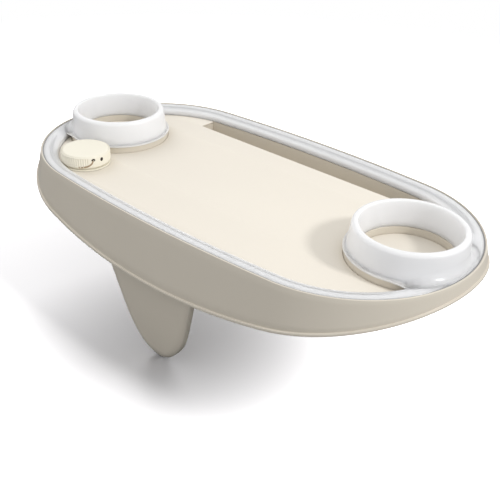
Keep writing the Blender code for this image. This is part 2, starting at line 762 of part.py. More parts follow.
def light_frame():
    outer = LIP_WIDTH + SEAT_GAP
    crease = RIM_Z - RIM_CREASE_DROP
    inner = RIM_Z - RIM_INNER_DROP
    frame = ring_loft("light_frame", [
        level_ring(outer, FRAME_LOW),
        level_ring(outer, RIM_Z - 0.0006),
        level_ring(outer + 0.0006, RIM_Z),
        level_ring(RIM_CREASE_INSET, crease),
        level_ring(RIM_INNER_INSET, inner),
        level_ring(RIM_INNER_LOW, FRAME_LOW),
    ], MILKY)
    cut(frame, ring_loft("rim_channel", [
        level_ring(outer + FRAME_WALL, FRAME_LOW - REACH),
        level_ring(outer + FRAME_WALL, crease - FRAME_WALL),
        level_ring(RIM_CREASE_INSET, crease - FRAME_WALL),
        level_ring(RIM_INNER_INSET - FRAME_WALL, inner - FRAME_WALL * 0.6),
        level_ring(RIM_INNER_LOW - FRAME_WALL, FRAME_LOW - REACH),
    ]))
    for side, centre in cup_centres().items():
        band = ring_loft("band_" + side, [
            level_ring(outer + JOIN, FRAME_LOW + JOIN),
            level_ring(outer + JOIN, COLLAR_TOP_Z + REACH),
            level_ring(RIM_INNER_INSET - JOIN, COLLAR_TOP_Z + REACH),
            level_ring(RIM_INNER_INSET - JOIN, FRAME_LOW + JOIN),
        ])
        fillet = turned("fillet_" + side, fillet_profile(), centre, closed=True)
        weld(join(frame, weld(combine(fillet, band, "INTERSECT"))))
        weld(cut(frame, turned("collar_room_" + side, collar_room_profile(), centre)))
    for name, place in {**rim_screws(), **tongue_screws()}.items():
        join(frame, cylinder("frame_boss_" + name, place, BOSS, FRAME_LOW, crease - JOIN * 2,
                             steps=12))
        cut(frame, cylinder("frame_hole_" + name, place, HOLE, FRAME_LOW - REACH,
                            frame_hole_top(), steps=12))
    return frame


def cup_collars():
    for side, centre in cup_centres().items():
        collar = turned("cup_collar_" + side, collar_profile(), centre, MILKY, closed=True)
        for name, place in collar_screws().items():
            if name.startswith(side):
                join(collar, cylinder("collar_boss_" + name, place, SMALL_HOLE + BOSS_WALL,
                                      COLLAR_FOOT_Z + JOIN, COLLAR_FOOT_Z + COLLAR_BOSS_HEIGHT,
                                      steps=12))
                cut(collar, cylinder("collar_hole_" + name, place, SMALL_HOLE,
                                     COLLAR_FOOT_Z - REACH, COLLAR_HOLE_TOP, steps=12))


def frame_hole_top():
    return RIM_Z - RIM_CREASE_DROP - FRAME_WALL + 0.0004


def cup_mats():
    for side, centre in cup_centres().items():
        radius = PLINTH_INNER - SEAT_GAP
        low, high = FLOOR_TOP + SEAT_GAP, FLOOR_TOP + SEAT_GAP + CUP_MAT_THICKNESS
        profile = [(0.0, high), (radius - 0.0005, high), (radius, high - 0.0004), (radius, low),
                   (0.0, low)]
        turned("cup_mat_" + side, profile, centre, CREAM)


# Front tongue
def tongue_front(depth):
    """How far forward the face lies: it follows the skirt, then leans back to the tub wall."""
    bend = TONGUE_STATIONS[0][0]
    if depth > bend:
        return TONGUE_BEND_Y + TONGUE_LEAN * (depth - bend)
    return TONGUE_TOP_Y + (TONGUE_BEND_Y - TONGUE_TOP_Y) * (depth - RIM_Z) / (bend - RIM_Z)


def tongue_body(name, top, inset, back, paint=None):
    """The tongue as a loft down its length, or a smaller copy of it inside its walls."""
    tip = TONGUE_STATIONS[-1][0] - inset
    stations = [(top, TONGUE_STATIONS[0][1])]
    stations += [station for station in TONGUE_STATIONS if station[0] < tip + 0.0001]
    rings = []
    for depth, width in stations:
        near_tip = max(0.0, 1 - (tip - depth) / TONGUE_BEVEL_WIDE)
        front = tongue_front(depth) + inset + TONGUE_BEVEL_DEEP * near_tip
        half = width - inset
        bevel = min(TONGUE_BEVEL_WIDE, half * 0.6)
        side = front + TONGUE_BEVEL_DEEP
        rear = tongue_front(depth) + TONGUE_THICKNESS + back
        z = RIM_Z - depth
        rings.append([(-half, rear, z), (-half, side, z), (bevel - half, front, z),
                      (half - bevel, front, z), (half, side, z), (half, rear, z)])
    return loft(name, rings, paint)


def front_tongue():
    top = RIM_Z + SEAT_GAP
    ceiling = top + TONGUE_FLANGE
    tongue = tongue_body("front_tongue", top, 0.0, 0.0, TAUPE)
    cut(tongue, tongue_body("tongue_pocket", ceiling, TONGUE_WALL, REACH))
    for i in (-1, 0, 1):
        x = i * TONGUE_RIB_SPACING
        rib = tongue_body(f"tongue_rib_{i}", ceiling - TONGUE_FLANGE / 2, TONGUE_WALL / 2,
                          -TONGUE_BEVEL_DEEP / 2)
        keep = box(f"tongue_keep_{i}", (x - RIB_THICKNESS / 2, -TRAY_WIDTH, -TRAY_LENGTH),
                   (x + RIB_THICKNESS / 2, 0, REACH))
        join(tongue, combine(rib, keep, "INTERSECT"))
    half, corner = TONGUE_FLANGE_HALF, TONGUE_FLANGE_CORNER
    front = TONGUE_TOP_Y + TONGUE_WALL / 2
    flange = [(-half, front), (-half, TONGUE_FLANGE_BACK - corner),
              (corner - half, TONGUE_FLANGE_BACK), (half - corner, TONGUE_FLANGE_BACK),
              (half, TONGUE_FLANGE_BACK - corner), (half, front)]
    join(tongue, plate("tongue_flange", [flange], RIM_Z - ceiling, RIM_Z - top - 0.00005))
    for name, place in tongue_screws().items():
        cut(tongue, cylinder("tongue_hole_" + name, place, HOLE, -TONGUE_FLANGE - REACH, REACH,
                             steps=12))
    return tongue


# Push light
def light_unit():
    top = DECK_TOP + LIGHT_RISE
    grip_top = top - CAP_PROUD
    flange_low = DECK_TOP + SEAT_GAP
    flange_top = flange_low + FLANGE_THICKNESS
    bore = BARREL_RADIUS - BARREL_WALL
    cap_radius = LIGHT_RADIUS - GRIP_WALL - SLIDE_CLEARANCE
    shoulder = top - CAP_DEPTH
    tube_top = shoulder - SEAT_GAP
    board_low = flange_low - 0.0007
    board_top = board_low + BOARD_THICKNESS
    ledge_top = board_low - SEAT_GAP
    ledge_low = ledge_top - 0.0012
    bottom = -BARREL_DEPTH

    housing = turned("light_housing", [
        (BARREL_RADIUS, tube_top),
        (BARREL_RADIUS, flange_top),
        (LIGHT_RADIUS - 0.0002, flange_top),
        (LIGHT_RADIUS - 0.0002, flange_low),
        (BARREL_RADIUS, flange_low),
        (BARREL_RADIUS, bottom),
        (bore, bottom),
        (bore, ledge_low),
        (bore - 0.0020, ledge_low),
        (bore - 0.0020, ledge_top),
        (bore, ledge_top),
        (bore, tube_top),
    ], LIGHT, IVORY, steps=LIGHT_STEPS, closed=True)
    for i in range(LUG_COUNT):
        lug = sector(BARREL_RADIUS - JOIN, LUG_RADIUS, 360.0 * i / LUG_COUNT - LUG_SWEEP / 2,
                     LUG_SWEEP, LIGHT)
        join(housing, plate(f"lug_{i}", [lug], LUG_LOW, LUG_TOP))
    cover_low = bottom + SEAT_GAP
    cover_top = cover_low + COVER_THICKNESS
    gasket_low = cover_top + SEAT_GAP
    gasket_top = gasket_low + 0.0005
    boss_low = gasket_top + SEAT_GAP
    screws = {}
    for name, sign in (("left", -1), ("right", 1)):
        place = (LIGHT_X + sign * COVER_SCREW_CIRCLE, LIGHT_Y)
        screws[name] = place
        boss = cylinder("cover_boss_" + name, place, SMALL_HOLE + COVER_BOSS_WALL, boss_low,
                        ledge_low + JOIN, steps=12)
        trim = cylinder("cover_boss_trim_" + name, LIGHT, BARREL_RADIUS - BARREL_WALL / 2,
                        bottom - REACH, tube_top + REACH, steps=LIGHT_STEPS)
        combine(boss, trim, "INTERSECT")
        join(housing, boss)
        cut(housing, cylinder("cover_hole_" + name, place, SMALL_HOLE, bottom - REACH,
                              ledge_low - 0.0010, steps=12))

    # Ribbed ring that a hand grips, plain where its index marks stand
    plain = 360.0 - GRIP_RIB_SWEEP
    outer = []
    for i in range(GRIP_RIBS):
        for part, depth in ((0.0, 1.0), (0.5, 0.0)):
            angle = math.radians(-plain / 2 - 40.0 - GRIP_RIB_SWEEP * (i + part) / GRIP_RIBS)
            radius = LIGHT_RADIUS - GRIP_RIB_DEPTH * depth
            outer.append((LIGHT_X + radius * math.cos(angle), LIGHT_Y + radius * math.sin(angle)))
    for i in range(1, 8):
        angle = math.radians(plain / 2 - 40.0 - plain * i / 8)
        outer.append((LIGHT_X + LIGHT_RADIUS * math.cos(angle),
                      LIGHT_Y + LIGHT_RADIUS * math.sin(angle)))
    inner = circle(BARREL_RADIUS + SEAT_GAP, LIGHT_STEPS, LIGHT)
    grip = plate("grip_ring", [outer, inner], flange_top + SEAT_GAP, grip_top, IVORY)
    cut(grip, cylinder("grip_room", LIGHT, LIGHT_RADIUS - GRIP_WALL, shoulder, grip_top + REACH,
                       steps=LIGHT_STEPS))

    cap_low = shoulder + SEAL_THICKNESS + CAP_TRAVEL + 2 * SEAT_GAP
    skirt = CAP_SKIRT
    turned("press_cap", [
        (0.0, top),
        (cap_radius - CAP_ROUND, top),
        (cap_radius - CAP_ROUND / 4, top - CAP_ROUND / 4),
        (cap_radius, top - CAP_ROUND * 0.875),
        (cap_radius, cap_low),
        (cap_radius - skirt, cap_low),
        (cap_radius - skirt, top - CAP_PLATE - skirt / 2),
        (cap_radius - skirt * 1.8, top - CAP_PLATE),
        (0.0, top - CAP_PLATE),
    ], LIGHT, IVORY, steps=LIGHT_STEPS)
    seal_low = shoulder + SEAT_GAP
    turned("cap_seal", [
        (LIGHT_RADIUS - GRIP_WALL - SEAT_GAP, seal_low + SEAL_THICKNESS),
        (LIGHT_RADIUS - GRIP_WALL - SEAT_GAP, seal_low),
        (BARREL_RADIUS + SEAT_GAP + 0.0002, seal_low),
        (BARREL_RADIUS + SEAT_GAP + 0.0002, seal_low + SEAL_THICKNESS),
    ], LIGHT, SILICONE, steps=LIGHT_STEPS, closed=True)

    # Board with its lamps and latching switch
    cylinder("light_board", LIGHT, bore - SEAT_GAP, board_low, board_top, BOARD, steps=24)
    lamp_low = board_top + SEAT_GAP
    for i in range(3):
        angle = math.radians(120.0 * i + 90.0)
        x = LIGHT_X + LED_CIRCLE * math.cos(angle)
        y = LIGHT_Y + LED_CIRCLE * math.sin(angle)
        half = LED_SIZE / 2
        lamp = box(f"led_{i + 1}", (x - half, y - half, lamp_low),
                   (x + half, y + half, lamp_low + LED_HEIGHT), LED)
        cut(lamp, cylinder(f"led_cup_{i + 1}", (x, y), half * 0.7, lamp_low + LED_HEIGHT * 0.6,
                           lamp_low + REACH, steps=12))
    half = SWITCH_SIZE / 2
    switch_top = lamp_low + SWITCH_HEIGHT
    switch = box("push_switch", (LIGHT_X - half, LIGHT_Y - half, lamp_low),
                 (LIGHT_X + half, LIGHT_Y + half, switch_top), BLACK)
    plunger_top = top - CAP_PLATE - SEAT_GAP
    plunger_low = switch_top - 0.0022
    cut(switch, cylinder("switch_bore", LIGHT, PLUNGER_RADIUS + SLIDE_CLEARANCE,
                         plunger_low - CAP_TRAVEL - SEAT_GAP, switch_top + REACH, steps=12))
    turned("switch_plunger", [
        (0.0, plunger_top),
        (PLUNGER_RADIUS - 0.0003, plunger_top),
        (PLUNGER_RADIUS, plunger_top - 0.0003),
        (PLUNGER_RADIUS, plunger_low),
        (0.0, plunger_low),
    ], LIGHT, LED, steps=12)

    # Battery: two coin cells in their holder, between two contacts
    strip_top = ledge_low - SEAT_GAP
    cell_top = strip_top - CONTACT_THICKNESS - SEAT_GAP
    for name, high in (("coin_cell_upper", cell_top),
                       ("coin_cell_lower", cell_top - CELL_THICKNESS - SEAT_GAP)):
        turned(name, [
            (0.0, high),
            (CELL_RADIUS - 0.0012, high),
            (CELL_RADIUS - 0.0008, high - 0.0006),
            (CELL_RADIUS, high - 0.0010),
            (CELL_RADIUS, high - CELL_THICKNESS + 0.0003),
            (CELL_RADIUS - 0.0003, high - CELL_THICKNESS),
            (0.0, high - CELL_THICKNESS),
        ], LIGHT, STEEL, steps=24)
    holder_in = CELL_RADIUS + SEAT_GAP
    turned("battery_holder", [
        (holder_in + HOLDER_WALL, strip_top - CONTACT_THICKNESS),
        (holder_in + HOLDER_WALL, boss_low),
        (holder_in, boss_low),
        (holder_in, strip_top - CONTACT_THICKNESS),
    ], LIGHT, BLACK, steps=24, closed=True)
    leg = CONTACT_THICKNESS
    reach = CELL_RADIUS * 0.8
    side_on = Matrix(((1, 0, 0, LIGHT_X), (0, 0, -1, LIGHT_Y), (0, 1, 0, 0), (0, 0, 0, 1)))
    half = CONTACT_WIDTH / 2
    plate("contact_upper", [[
        (-reach, strip_top - leg), (reach, strip_top - leg), (reach, board_low - SEAT_GAP),
        (reach - leg, board_low - SEAT_GAP), (reach - leg, strip_top), (-reach, strip_top),
    ]], -half, half, STEEL, matrix=side_on)
    cell_bottom = cell_top - 2 * CELL_THICKNESS - SEAT_GAP
    crest = cell_bottom - SEAT_GAP
    foot = gasket_low + leg
    plate("contact_lower", [[
        (-reach, foot - leg), (-reach * 0.3, foot - leg), (0.0, crest - leg),
        (reach * 0.3, foot - leg), (reach, foot - leg), (reach, foot),
        (reach * 0.3 + leg / 2, foot), (0.0, crest), (-reach * 0.3 - leg / 2, foot), (-reach, foot),
    ]], -half, half, STEEL, matrix=side_on)
    holes = [circle(SMALL_HOLE, 12, place) for place in screws.values()]
    plate("cover_gasket", [circle(bore - SEAT_GAP, LIGHT_STEPS, LIGHT),
                           circle(holder_in + 0.0004, 24, LIGHT)] + holes,
          gasket_low, gasket_top, SILICONE)
    cover = turned("battery_cover", [
        (0.0, cover_top),
        (bore - SEAT_GAP, cover_top),
        (bore - SEAT_GAP, cover_low),
        (0.0, cover_low),
    ], LIGHT, IVORY, steps=LIGHT_STEPS)
    sunk = SMALL_SCREW_HEAD_HEIGHT + SCREW_CLEARANCE
    for name, place in screws.items():
        cut(cover, cylinder("cover_clear_" + name, place, SMALL_HOLE, cover_low - REACH,
                            cover_top + REACH, steps=12))
        cut(cover, cylinder("cover_sink_" + name, place, SMALL_SCREW_HEAD_RADIUS + SCREW_CLEARANCE,
                            cover_low - REACH, cover_low + sunk, steps=16))
        screw("cover_screw_" + name, place, cover_low + sunk - SCREW_CLEARANCE, 0.0060,
              SMALL_SCREW_RADIUS, SMALL_SCREW_HEAD_RADIUS, SMALL_SCREW_HEAD_HEIGHT)


# Screws
def tray_screws():
    for name, place in rim_screws().items():
        head = -SEAT_GAP
        screw("rim_screw_" + name, place, head, frame_hole_top() - head - SEAT_GAP)
    for name, place in tongue_screws().items():
        head = -SEAT_GAP - TONGUE_FLANGE - SEAT_GAP
        screw("tongue_screw_" + name, place, head, frame_hole_top() - head - SEAT_GAP)
    for name, place in collar_screws().items():
        head = -SEAT_GAP
        screw("collar_screw_" + name, place, head, COLLAR_HOLE_TOP - SEAT_GAP - head,
              SMALL_SCREW_RADIUS, SMALL_SCREW_HEAD_RADIUS, SMALL_SCREW_HEAD_HEIGHT)


def main():
    base_shell()
    slot_trough()
    cup_steps()
    deck_panel()
    light_frame()
    cup_collars()
    cup_mats()
    front_tongue()
    light_unit()
    tray_screws()
    for made in TRAY.objects:
        smooth(made)


main()
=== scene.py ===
"""Hot tub tray: fine surfaces and moulded plastics over the CAD frame."""
import json
from math import asin, cos, degrees, hypot, pi, radians, sin, sqrt

import bmesh
import bpy
from bpy.props import FloatProperty, FloatVectorProperty, IntProperty, PointerProperty
from mathutils import Matrix, Vector


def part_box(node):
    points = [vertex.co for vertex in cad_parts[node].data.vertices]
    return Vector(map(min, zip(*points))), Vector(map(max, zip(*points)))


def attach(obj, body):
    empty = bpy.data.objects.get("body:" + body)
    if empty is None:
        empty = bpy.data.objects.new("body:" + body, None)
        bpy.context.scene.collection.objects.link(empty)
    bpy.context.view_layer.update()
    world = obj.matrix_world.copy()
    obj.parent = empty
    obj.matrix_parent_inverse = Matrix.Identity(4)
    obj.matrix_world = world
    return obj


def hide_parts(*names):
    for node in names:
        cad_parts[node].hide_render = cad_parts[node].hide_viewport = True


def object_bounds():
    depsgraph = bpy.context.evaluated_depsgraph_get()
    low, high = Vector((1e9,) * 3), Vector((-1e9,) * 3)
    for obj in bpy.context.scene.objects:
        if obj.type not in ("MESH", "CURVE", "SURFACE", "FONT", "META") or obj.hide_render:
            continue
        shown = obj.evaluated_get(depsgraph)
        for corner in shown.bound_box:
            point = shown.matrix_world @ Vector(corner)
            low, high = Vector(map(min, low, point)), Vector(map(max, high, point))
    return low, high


bl_info = {
    "name": "Hot tub tray",
    "version": (1, 0, 0),
    "blender": (4, 5, 0),
    "location": "3D View > Sidebar > Tray",
    "description": "Builds the tray's visible surfaces and finishes over its CAD frame",
    "category": "Object",
}

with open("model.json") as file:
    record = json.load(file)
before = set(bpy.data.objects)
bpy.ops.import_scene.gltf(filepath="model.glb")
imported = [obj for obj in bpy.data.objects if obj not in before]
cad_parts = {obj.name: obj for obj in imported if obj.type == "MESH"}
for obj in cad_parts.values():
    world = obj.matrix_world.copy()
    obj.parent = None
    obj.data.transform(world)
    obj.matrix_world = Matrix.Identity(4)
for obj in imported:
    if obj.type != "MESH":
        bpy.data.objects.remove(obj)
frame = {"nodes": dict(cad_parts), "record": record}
CAD_BOX = [list(corner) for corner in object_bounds()]

# Outline of the rim, in metres: bowed sides that pass into round ends
GAP = 0.0003
TRAY_LENGTH = 0.419
TRAY_WIDTH = 0.2168
END_RADIUS = 0.1037
END_X = TRAY_LENGTH / 2 - END_RADIUS
BOW_RADIUS = ((END_X ** 2 + (TRAY_WIDTH / 2) ** 2 - END_RADIUS ** 2)
              / (2 * (TRAY_WIDTH / 2 - END_RADIUS)))
BOW_TURN = asin(END_X / (BOW_RADIUS - END_RADIUS))
OUTLINE_STEPS = 60

# Shell
FLOOR_TOP = 0.0016
DECK_TOP = 0.0034
FRAME_LOW = DECK_TOP + GAP
RIM_Z = 0.0112
SKIRT_DEPTH_MIDDLE = 0.0461
SKIRT_DEPTH_END = 0.0115
SKIRT_FLARE = 0.213
SKIRT_WALL = 0.0025
SKIRT_REACH = 0.010
LIP_WIDTH = 0.0016
BEAD_PROUD = 0.0012
BEAD_HEIGHT = 0.0022
BEAD_ROUND = 0.0005
SKIRT_ROUND = 0.0007
TUB_RADIUS = 0.127
RIB_SPACING = 0.032
RIBS_EACH_SIDE = 3
RIB_HALF = 0.001
RIB_ROUND = 0.0003
RIB_LIFT = 0.0040
TONGUE_ROOM = 0.0497
TONGUE_ROOM_Y = -0.0890
SLOT_LENGTH = 0.240
SLOT_FRONT = 0.0715
SLOT_BOTTOM = -0.0166
SLOT_WALL = 0.0018
SLOT_CORNER = 0.0012
TROUGH_CORNER = 0.0020
SLOT_STEPS = 40
STRIP_TRIM = 0.9975
WELL_BOTTOM = -0.0152
WELL_INSIDE = -0.0136

# Rim band, collars and cups
CREST_INSET = 0.0040
GROOVE = (0.0084, 0.0100)
GROOVE_DROP = (0.00055, 0.00105)
RIM_INNER_INSET = 0.0145
RIM_INNER_DROP = 0.0031
RIM_INNER_LOW = 0.0150
# Painted shade: dark strips along the rim, one in the gap by the shell's lip and one in the band's
# groove, as (inset, drop) points
GAP_SHADE_LINE = [(0.00163, 0.00088), (0.00250, 0.00080)]
GROOVE_SHADE_LINE = [(0.00850, 0.00068), (0.00990, 0.00109)]
CUP_X = 0.1592
CUP_OFFSET = CUP_X - END_X
CUPS = {"left": (-CUP_X, 0.0), "right": (CUP_X, 0.0)}
COLLAR_TOP_Z = 0.0305
COLLAR_TOP_INNER = 0.0374
COLLAR_WALL_TOP = 0.0424
COLLAR_WALL_FOOT = 0.0445
COLLAR_SHOULDER = 0.0034
COLLAR_ROLL = 0.0015
COLLAR_FOOT_OUTER = 0.0465
COLLAR_FOOT_Z = 0.0089
COLLAR_LIP_HEIGHT = 0.0012
COLLAR_PULL = 1.66
PLINTH_OUTER = 0.0456
PLINTH_INNER = 0.0357
PLINTH_TOP = 0.0086
PLINTH_LOW = 0.0019
PLINTH_GATE = 33.75
PAD_THICKNESS = 0.0010

# Push light
LIGHT = (-0.1303, -0.0624)
LIGHT_RADIUS = 0.0213
LIGHT_TOP = 0.0169
LIGHT_BARREL = 0.0186
LIGHT_HOLE = 0.0202
LIGHT_STEPS = 96
CAP_LOW = 0.0129
CAP_WALL = 0.0012
PLAIN_FROM = -34.0
PLAIN_SWEEP = 64.0
MARK_PROUD = 0.00004
MARK_WIDTH = 0.0014
MARK_DOTS = ((1.5, 3.9, 0.0127, 0.0017), (-20.0, 4.6, 0.0136, 0.0013))
MARK_TURN = (
    (-21.0, 0.0130), (-21.8, 0.0118), (-24.5, 0.0103), (-28.7, 0.0092), (-32.0, 0.0086),
    (-35.7, 0.0081), (-40.0, 0.0078), (-47.1, 0.0075), (-55.0, 0.0075),
)

# Tongue: its stations are (depth below the rim, half width)
TONGUE_TOP_Y = -0.1050
TONGUE_BEND_Y = -0.1104
TONGUE_LEAN = 0.10
TONGUE_THICKNESS = 0.0078
TONGUE_ROUND = 0.0030
TONGUE_BEVEL = 0.0078
TONGUE_WALL = 0.0022
TONGUE_CURL = 0.0105
TONGUE_STATIONS = (
    (0.0500, 0.0475), (0.0700, 0.0415), (0.0900, 0.0353), (0.1000, 0.0318), (0.1080, 0.0278),
    (0.1140, 0.0238), (0.1200, 0.0188), (0.1250, 0.0132), (0.1284, 0.0070), (0.1296, 0.0022),
)
TONGUE_BEND, TONGUE_TIP = TONGUE_STATIONS[0][0], TONGUE_STATIONS[-1][0]

# Camera solved from the photograph
CAMERA_LENS = 53.75
CAMERA_TURN = (2.242716160350864, 0.5891091642302766, 0.45599594690016765)
CAMERA_SHIFT = (-0.005555352929773006, -0.05994887364989001, 0.6243911366128143)


# Settings a user would change
def tint(name, description, *colour):
    return FloatVectorProperty(name=name, description=description, subtype="COLOR",
                               default=colour, min=0, max=1)


def count(name, description, default, low, high):
    return IntProperty(name=name, description=description, default=default, min=low, max=high)


def level(name, description, default, low=0, high=1000):
    return FloatProperty(name=name, description=description, default=default, min=low, max=high)


def length(name, description, default, low, high):
    return FloatProperty(name=name, description=description, default=default, min=low, max=high,
                         unit="LENGTH")


class TrayColours(bpy.types.PropertyGroup):
    shell: tint("Shell", "Satin plastic of the shell", 0.660, 0.608, 0.520)
    deck: tint("Deck", "Matte plastic of the deck", 0.807, 0.754, 0.664)
    frame: tint("Frame", "Milky plastic of the rim and collars", 0.785, 0.788, 0.800)
    light: tint("Light", "Ivory plastic of the push light", 0.860, 0.820, 0.700)
    ink: tint("Marks", "Printed marks on the light's side", 0.035, 0.025, 0.018)


class TrayShape(bpy.types.PropertyGroup):
    side_steps: count("Side steps", "Steps along half of one side", 26, 4, 200)
    end_steps: count("End steps", "Steps round a quarter of the outline", 110, 8, 400)
    lip_round: length("Lip round", "Radius on the shell's lip", 0.0007, 0.0001, 0.001)
    band_round: length("Band round", "Radius on the rim band's edges", 0.0008, 0.0001, 0.003)
    soft_from: level("Blend from", "Degrees at which a collar leaves the rim", 20.0, 0, 89)
    soft_to: level("Blend to", "Degrees at which a collar stands clear", 76.0, 1, 90)
    collar_steps: count("Collar steps", "Steps round a cup collar", 180, 16, 512)
    grip_ribs: count("Grip ribs", "Ribs on the ring round the push light", 54, 8, 120)
    grip_depth: length("Rib depth", "Depth of the grooves between ribs", 0.0006, 0.0, 0.001)


class TrayStage(bpy.types.PropertyGroup):
    ambient: level("Surround", "Strength of the white surround", 0.86)
    key: level("Key", "Watts of the small lamp on the right", 8.1)
    left: level("Left", "Watts of the lamp on the left", 2.5)
    floor: level("Floor right", "Watts of the floor's own lamp on the right", 550.0)
    floor_back: level("Floor back", "Watts of the floor's own lamp behind", 320.0)
    open_floor: length("Open floor", "Distance where the floor turns white", 0.55, 0.3, 3.0)


# Shader maths
class Wire:
    """A node's socket that can be added and multiplied in a Python expression."""

    def __init__(self, paint, socket):
        self.paint = paint
        self.socket = socket

    def __add__(self, other):
        return self.paint.maths("ADD", self, other)

    def __mul__(self, other):
        return self.paint.maths("MULTIPLY", self, other)

    __radd__ = __add__
    __rmul__ = __mul__


class Paint:
    """The nodes of a material or a world, written from one place."""

    def __init__(self, owner, shader="Principled BSDF", **constants):
        owner.use_nodes = True
        self.owner = owner
        self.tree = owner.node_tree
        self.shader = self.tree.nodes[shader]
        for socket, value in constants.items():
            self.shader.inputs[socket.replace("_", " ")].default_value = value

    def node(self, kind, settings=None, inputs=None, output=0):
        made = self.tree.nodes.new(kind)
        for key, value in (settings or {}).items():
            setattr(made, key, value)
        for key, value in (inputs or {}).items():
            self.feed(made.inputs[key], value)
        return Wire(self, made.outputs[output])

    def feed(self, socket, value):
        if isinstance(value, Wire):
            self.tree.links.new(value.socket, socket)
        else:
            socket.default_value = value

    def maths(self, operation, first, second):
        return self.node("ShaderNodeMath", {"operation": operation}, {0: first, 1: second})

    def mix(self, share, first, second):
        """Colour between two colours."""
        colours = [value if isinstance(value, Wire) else (*value, 1.0)
                   for value in (first, second)]
        return self.node("ShaderNodeMix", {"data_type": "RGBA"},
                         {0: share, 6: colours[0], 7: colours[1]}, output=2)

    def place(self):
        return self.node("ShaderNodeNewGeometry", output="Position")

    def grain(self, scale, detail=2.0, roughness=0.5, stretch=None):
        where = self.place()
        if stretch:
            where = self.node("ShaderNodeVectorMath", {"operation": "MULTIPLY"},
                              {0: where, 1: stretch})
        return self.node("ShaderNodeTexNoise", {},
                         {"Vector": where, "Scale": scale, "Detail": detail,
                          "Roughness": roughness}, output="Fac")

    def finish(self, colour, roughness, height, depth, strength):
        bump = self.node("ShaderNodeBump", {},
                         {"Height": height, "Distance": depth, "Strength": strength},
                         output="Normal")
        for socket, value in (("Base Color", colour), ("Roughness", roughness), ("Normal", bump)):
            self.feed(self.shader.inputs[socket], value)
        return self.owner


def shade(colour, factor):
    return tuple(min(1.0, part * factor) for part in colour)


def moulded(name, colour, rough, spread, grain_scale, bump_strength, swing=0.03, **constants):
    """A moulded plastic: slow colour drift, patches of roughness and a fine spark-eroded grain."""
    paint = Paint(bpy.data.materials.new(name), **constants)
    drift = paint.grain(14.0, 3.0)
    fine = paint.grain(grain_scale, 2.0, 0.6)
    tone = paint.mix(drift, shade(colour, 1 - swing), shade(colour, 1 + swing))
    dust = paint.grain(160.0, 4.0, 0.65)
    tone = paint.mix(dust * 0.10, tone, shade(colour, 0.93))
    patches = paint.grain(38.0, 3.0, 0.6)
    return paint.finish(tone, patches * spread + fine * 0.04 + (rough - spread / 2 - 0.02), fine,
                        0.00006, bump_strength)


FINISH = {}


def make_finishes(colours):
    """One material for each slot of the record, for the rim's strips of painted shade and for the
    printed marks.
    """
    satin = {"Specular_IOR_Level": 0.5}
    matte = {"swing": 0.015, "Specular_IOR_Level": 0.35}
    ivory = {"swing": 0.02, "Specular_IOR_Level": 0.4}
    milky = {"swing": 0.012, "Subsurface_Weight": 1.0, "Subsurface_Scale": 0.010,
             "Subsurface_Radius": (1.0, 1.0, 1.0), **satin}
    # Painted light: the tongue's plastic is the shell's colour made lighter, standing in for light
    # on its face
    shell_painted_lighter = shade(colours.shell, 1.17)
    # Painted shade: darker copies of the frame's colour for the strips in the rim's gap and groove
    line, gap = shade(colours.frame, 0.76), shade(colours.frame, 0.36)
    plastics = (
        ("taupe_plastic", "Shell plastic", colours.shell, 0.36, 0.08, 2600, 0.16, satin),
        ("tongue_plastic", "Tongue plastic", shell_painted_lighter, 0.36, 0.08, 2600, 0.16, satin),
        ("cream_plastic", "Deck plastic", colours.deck, 0.58, 0.08, 2200, 0.22, matte),
        ("milky_plastic", "Milky plastic", colours.frame, 0.24, 0.06, 3200, 0.05, milky),
        ("line_grey", "Rim lines", line, 0.50, 0.06, 3200, 0.05, {}),
        ("gap_grey", "Rim gap", gap, 0.60, 0.06, 3200, 0.05, {}),
        ("ivory_plastic", "Ivory plastic", colours.light, 0.46, 0.08, 2400, 0.16, ivory),
        ("mark_ink", "Mark ink", colours.ink, 0.60, 0.08, 1800, 0.10, {}),
        ("mark_brown", "Mark brown", (0.36, 0.26, 0.16), 0.60, 0.08, 1800, 0.10, {}),
        ("clear_silicone", "Silicone", (0.62, 0.62, 0.60), 0.55, 0.10, 1800, 0.10, {}),
        ("black_plastic", "Black plastic", (0.022, 0.022, 0.024), 0.48, 0.10, 2400, 0.20, {}),
        ("board_green", "Solder mask", (0.015, 0.13, 0.05), 0.40, 0.10, 1500, 0.15, {}),
        ("led_body", "Lamp body", (0.86, 0.83, 0.62), 0.28, 0.08, 2000, 0.06, {}),
    )
    for slot, *values, extra in plastics:
        FINISH[slot] = moulded(*values, **extra)
    steel = Paint(bpy.data.materials.new("Plated steel"), Metallic=1.0)
    wear = steel.grain(900.0, 4.0, 0.7)
    brushed = steel.grain(1400.0, 2.0, 0.6, stretch=(1.0, 1.0, 8.0))
    tone = steel.mix(wear, (0.52, 0.52, 0.53), (0.68, 0.68, 0.69))
    FINISH["steel"] = steel.finish(tone, wear * 0.16 + brushed * 0.08 + 0.20, brushed, 0.00002,
                                   0.25)


# Lines
def sines(*angles):
    """Sine and cosine of each angle, given in degrees."""
    return [(sin(radians(angle)), cos(radians(angle))) for angle in angles]


def blend(low, high, share):
    return low + (high - low) * share


def between(low, high, steps):
    return [low + (high - low) * i / steps for i in range(steps + 1)]


def arc(centre, radius, start, end, steps):
    """Points of an arc in a section, angles in degrees."""
    return [(centre[0] + radius * c, centre[1] + radius * s)
            for s, c in sines(*between(start, end, steps))]


def circle(radius, steps, centre):
    return [(centre[0] + radius * cos(2 * pi * i / steps),
             centre[1] + radius * sin(2 * pi * i / steps)) for i in range(steps)]


